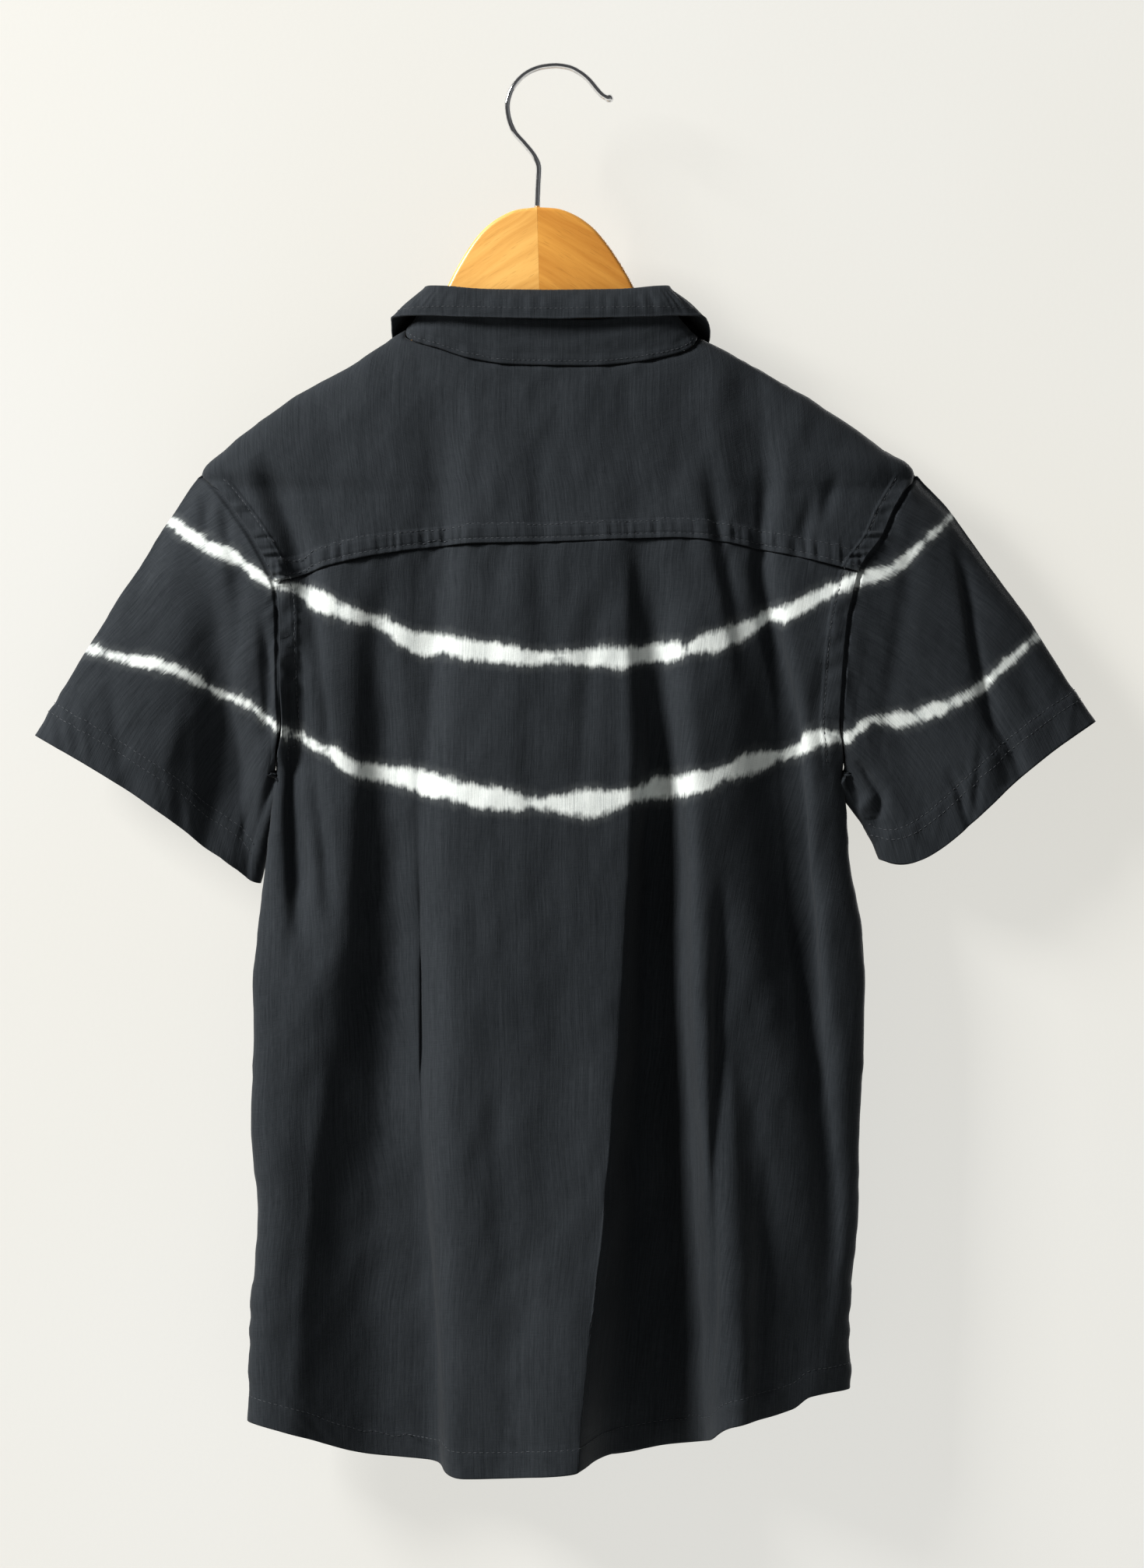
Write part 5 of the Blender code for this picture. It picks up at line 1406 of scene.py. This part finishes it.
BUTTON_PROFILE = (
    (0, 0.0), (4.4, 0.0), (5.1, 0.35), (5.45, 0.9), (5.5, 1.4), (5.3, 2.0), (4.85, 2.4), (4.3, 2.5),
    (3.85, 2.3), (3.5, 1.9), (3.1, 1.75), (1.6, 1.65), (0, 1.62),
)
HOLE_RADIUS, HOLE_OFF = 0.62, 1.05


def button_mesh():
    """A four-hole button with a raised rim, its face up."""
    shape = add_object("button_shape", mesh_from(turned(BUTTON_PROFILE, 48), "button_shape"))
    bm = bmesh.new()
    for sx in (-1, 1):
        for sy in (-1, 1):
            made = bmesh.ops.create_cone(bm, cap_ends=True, segments=14, radius1=HOLE_RADIUS * MM,
                                         radius2=HOLE_RADIUS * MM, depth=6 * MM)
            bmesh.ops.translate(bm, verts=made["verts"], vec=(sx * HOLE_OFF * MM, sy * HOLE_OFF * MM, 1 * MM))
    drills = add_object("button_drills", mesh_from(bm, "button_drills"))
    holes = shape.modifiers.new("holes", "BOOLEAN")
    holes.operation = "DIFFERENCE"
    holes.object = drills
    return baked(shape, drills)


def add_tube(bm, points, radius, sides=8):
    """A closed tube along a few points."""
    points = [Vector(p) for p in points]
    rings = []
    for k, point in enumerate(points):
        along = (points[min(k + 1, len(points) - 1)] - points[max(k - 1, 0)]).normalized()
        first = along.orthogonal().normalized()
        second = along.cross(first)
        rings.append([bm.verts.new(point + (first * a + second * b) * radius) for a, b in circle(1, sides)])
    for low, high in zip(rings, rings[1:]):
        shift = min(range(sides), key=lambda s: (high[s].co - low[0].co).length)
        for j in range(sides):
            bm.faces.new((low[j], low[(j + 1) % sides],
                          high[(j + 1 + shift) % sides], high[(j + shift) % sides]))
    bm.faces.new(rings[0][::-1])
    bm.faces.new(rings[-1])


THREAD_RADIUS = 0.17


def thread_button(bm, place, turn):
    """The thread through a button's four holes, and its shank down to the cloth."""
    cosine, sine = math.cos(turn), math.sin(turn)
    for column in (-1, 1):
        for strand in (-0.22, 0.0, 0.22):
            points = []
            for k in range(9):
                t = k / 8
                a, b = column * HOLE_OFF + strand, (2 * t - 1) * HOLE_OFF
                lift = 1.25 + 0.85 * math.sin(math.pi * t) ** 0.5
                x, z = a * cosine - b * sine, a * sine + b * cosine
                points.append(place + Vector((-x, lift, z)) * MM)
            add_tube(bm, points, THREAD_RADIUS * MM, 6)
    add_tube(bm, [place - Vector((0, 0.5, 0)) * MM, place + Vector((0, 0.3, 0)) * MM], 1.5 * MM, 12)


def make_buttons():
    """Each button stands for its solid, and one piece holds the thread through all their holes."""
    shape = button_mesh()
    threads = bmesh.new()
    for number in range(1, len(BUTTON_DROPS) + 2):
        node = f"button_{number}"
        low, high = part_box(node)
        place = (Vector(low) + Vector(high)) / 2
        place.y = low[1]
        turn = math.radians(9 * math.sin(3.7 * number))
        mesh = shape.copy()
        mesh.name = node
        mesh.transform(Matrix.Translation(place) @ Matrix((
            (-math.cos(turn), math.sin(turn), 0, 0), (0, 0, 1, 0),
            (math.sin(turn), math.cos(turn), 0, 0), (0, 0, 0, 1))))
        mesh.update()
        add_piece(f"{node}_turned", finished(mesh, 40), "button", node)
        thread_button(threads, place, turn)
    bmesh.ops.recalc_face_normals(threads, faces=threads.faces)
    add_piece("button_thread", finished(mesh_from(threads, "button_thread")), "thread")


def sew_buttonholes(front):
    """Close zigzag stitches round each upright slit down the placket."""
    lines = []
    for drop in BUTTON_DROPS:
        zigzag = []
        for k in range(45):
            t = 2 * math.pi * k / 45
            reach = 1.9 if k % 2 else 0.7
            out = math.copysign(min(abs(math.sin(t)) * 4, 1), math.sin(t)) * reach
            zigzag.append((CENTRE_FRONT + out, 26, -(drop + 1 + 7.6 * math.cos(t))))
        lines.append(lay(front, zigzag, 0.1))
    sew("buttonhole_stitching", lines, pitch=0.9, length=1.3, thickness=0.36)


def hanger_outline(side):
    """One half of the hanger in the plane, its top edge drawn as a smooth curve."""
    points = list(zip(*along_path(HANGER_TOP, 90)[0])) + list(HANGER_END[:-1])
    outs = np.linspace(HANGER_BOTTOM[0][0], 0, 40)
    points += list(zip(outs, smooth(HANGER_BOTTOM[::-1], outs)))
    outline = []
    for out, drop in points:
        along, down = side * (out if out > 0 else -2 * WOOD_ROUND), drop - HANGER_TOP_DROP
        x = HANGER_X + along * math.cos(HANGER_TILT) + down * math.sin(HANGER_TILT)
        outline.append((x, HANGER_TOP_DROP + down * math.cos(HANGER_TILT) - along * math.sin(HANGER_TILT)))
    return outline


def bevelled_curve(name, dimensions, radius, points):
    """A poly curve through points in metres, rounded by a radius in millimetres."""
    curve = bpy.data.curves.new(name, "CURVE")
    curve.dimensions = dimensions
    curve.bevel_depth = radius * MM
    curve.bevel_resolution = 5
    spline = curve.splines.new("POLY")
    spline.points.add(len(points) - 1)
    for point, place in zip(spline.points, points):
        point.co = (*place, 1)
    return curve, spline


def remade(mesh, nearest, bend=None):
    """Weld a mesh's doubled points and, where a bend is given, move each point by it."""
    bm = bmesh.new()
    bm.from_mesh(mesh)
    bmesh.ops.remove_doubles(bm, verts=bm.verts, dist=nearest * MM)
    for vert in bm.verts if bend else ():
        vert.co = bend(*vert.co)
    if bm.calc_volume(signed=True) < 0:
        bmesh.ops.reverse_faces(bm, faces=bm.faces)
    bm.to_mesh(mesh)
    bm.free()
    return mesh


def hanger_bend(side):
    """Stand a flat hanger half up, part it at the joint and bring its arm forward."""
    def bend(x, up, depth):
        level, down = x / MM - HANGER_X, -up / MM - HANGER_TOP_DROP
        along = level * math.cos(HANGER_TILT) - down * math.sin(HANGER_TILT)
        if side * along < JOINT_GAP / 2:
            x += (side * JOINT_GAP / 2 - along) * math.cos(HANGER_TILT) * MM
            up += (side * JOINT_GAP / 2 - along) * math.sin(HANGER_TILT) * MM
        out = min(abs(x / MM - HANGER_X) / ARM_END, 1.0)
        return x, depth + ARM_FORWARD * out ** 1.5 * MM, up
    return bend


def make_hanger():
    # The left half takes the painted lit copy of the wood and the right half the painted shaded copy
    for node, side, wood in (("hanger_left", -1, "wood_painted_lit"), ("hanger_right", 1, "wood_painted_shade")):
        outline = [(x * MM, -drop * MM, 0) for x, drop in hanger_outline(side)]
        curve, spline = bevelled_curve(node, "2D", WOOD_ROUND, outline)
        curve.fill_mode = "BOTH"
        curve.extrude = (WOOD_HALF_THICK - WOOD_ROUND) * MM
        curve.offset = -WOOD_ROUND * MM
        spline.use_cyclic_u = True
        mesh = remade(baked(add_object(f"{node}_outline", curve)), 0.01, hanger_bend(side))
        add_piece(f"{node}_wood", finished(mesh, 38), wood, node)


def make_hook():
    (xs, drops), reach = along_path(HOOK, 170)
    for _ in range(6):
        xs[1:-1], drops[1:-1] = ((a[:-2] + 2 * a[1:-1] + a[2:]) / 4 for a in (xs, drops))
    curve, spline = bevelled_curve("hook_wire", "3D", WIRE_RADIUS,
                                   [(x * MM, 0, -drop * MM) for x, drop in zip(xs, drops)])
    curve.use_fill_caps = True
    for point, to_tip in zip(spline.points, reach[-1] - reach):
        bead = math.sqrt(max(1 - ((to_tip - HOOK_TIP_RADIUS) / HOOK_TIP_RADIUS) ** 2, 0)) * HOOK_TIP_RADIUS
        point.radius = max(bead, WIRE_RADIUS if to_tip > HOOK_TIP_RADIUS else 0.4) / WIRE_RADIUS
    mesh = remade(baked(add_object("hook_wire_line", curve)), 0.005)
    add_piece("hook_wire", finished(mesh), "chrome", "hook")


CAMERA_PLACE, CAMERA_LENS = (8.6, -2200, -376.8), 95.9


def add_camera():
    camera = bpy.data.cameras.new("camera")
    camera.sensor_width = 36
    camera.lens = CAMERA_LENS
    view = add_object("camera", camera)
    view.location = [at * MM for at in CAMERA_PLACE]
    view.rotation_euler = (math.pi / 2, 0, 0)
    bpy.context.scene.camera = view


def add_light(name, place, target, size, power, colour):
    light = bpy.data.lights.new(name, "AREA")
    light.shape = "RECTANGLE"
    light.size, light.size_y = size
    light.energy = power
    light.color = colour
    lamp = add_object(name, light)
    lamp.location = place
    lamp.rotation_euler = (Vector(target) - Vector(place)).to_track_quat("-Z", "Y").to_euler()


WALL_Y = 40.0           # the wall the shirt hangs in front of
FLOOR_DROP = 1150.0


def stage_plane(name, size, place, turn, one_sided, glow):
    bm = bmesh.new()
    bmesh.ops.create_grid(bm, x_segments=1, y_segments=1, size=size)
    mesh = mesh_from(bm, name)
    plane = add_object(name, mesh)
    plane.location = place
    plane.rotation_euler = turn
    made, shader, start = finish_of(name, {
        "Roughness": 0.95, "Specular IOR Level": 0.1, "Emission Strength": glow})
    place_in = start.object_place()
    mottled = start.noise(place_in, (1.6, 1.6, 1.6), 2.0)
    grain = start.noise(place_in, (420, 420, 420), 2.0)
    colour = mottled.between(0.3, 0.7).blend((0.146, 0.1435, 0.1345, 1), (0.149, 0.148, 0.142, 1))
    wear(shader, Base_Color=colour, Emission_Color=colour, Normal=start.bump(grain, 0.15, 0.0004))
    if one_sided:
        facing = start.make("ShaderNodeNewGeometry", {}, outlet=6)
        clear = start.make("ShaderNodeBsdfTransparent")
        solid = Socket(made.node_tree, shader.outputs[0])
        mixed = start.make("ShaderNodeMixShader", {}, {0: facing, 1: solid, 2: clear})
        made.node_tree.links.new(mixed.output, made.node_tree.nodes["Material Output"].inputs["Surface"])
        plane.visible_shadow = False
    mesh.materials.append(made)


# Area lights: name, place, aimed at, width and height, watts, colour
LIGHTS = (
    ("window", (-2.0, -1.18, 1.05), (0, 0, -0.38), (0.7, 0.8), 142, (1.0, 0.985, 0.955)),
    ("room", (1.6, -2.4, -0.2), (0, 0, -0.4), (2.4, 2.4), 2.2, (0.94, 0.97, 1.0)),
    ("front_window", (1.5, 1.8, 0.7), (0, 0, -0.35), (1.0, 1.0), 60, (1.0, 0.99, 0.97)),
    ("front_room", (-1.6, 2.2, 0.1), (0, 0, -0.35), (2.0, 2.0), 9, (1, 1, 1)),
)


def add_stage():
    stage_plane("wall", size=1.6, place=(0, WALL_Y * MM, -0.4), turn=(math.pi / 2, 0, 0),
                one_sided=True, glow=3.8)
    stage_plane("floor", size=3.0, place=(0, 0, -FLOOR_DROP * MM), turn=(0, 0, 0),
                one_sided=False, glow=3.0)
    world = bpy.data.worlds.new("soft_room")
    bpy.context.scene.world = world
    world.use_nodes = True
    background = world.node_tree.nodes["Background"]
    background.inputs["Color"].default_value = (0.97, 0.985, 1.0, 1)
    background.inputs["Strength"].default_value = 0.09
    for light in LIGHTS:
        add_light(*light)
    bpy.context.scene.view_settings.view_transform = "Standard"
    bpy.context.scene.view_settings.look = "Medium High Contrast"


add_camera()
yoke_piece, yoke_face = make_yoke()
back_piece, back_face = make_back()
front_made = make_fronts()
sleeve_made = make_sleeves()
stand_piece, stand_face = make_stand()
leaf_piece, leaf_face = make_leaf()
front_faces, sleeve_faces = (
    {side: face for side, (_, face) in made.items()} for made in (front_made, sleeve_made))
sew_yoke(yoke_face)
sew_armholes(yoke_face, back_face, front_faces)
sew_hems(back_face, front_faces, sleeve_faces)
sew_plackets(front_faces)
sew_collar(stand_face, leaf_face)
sew_buttonholes(front_faces[-1])
make_buttons()
make_hanger()
make_hook()

add_stage()
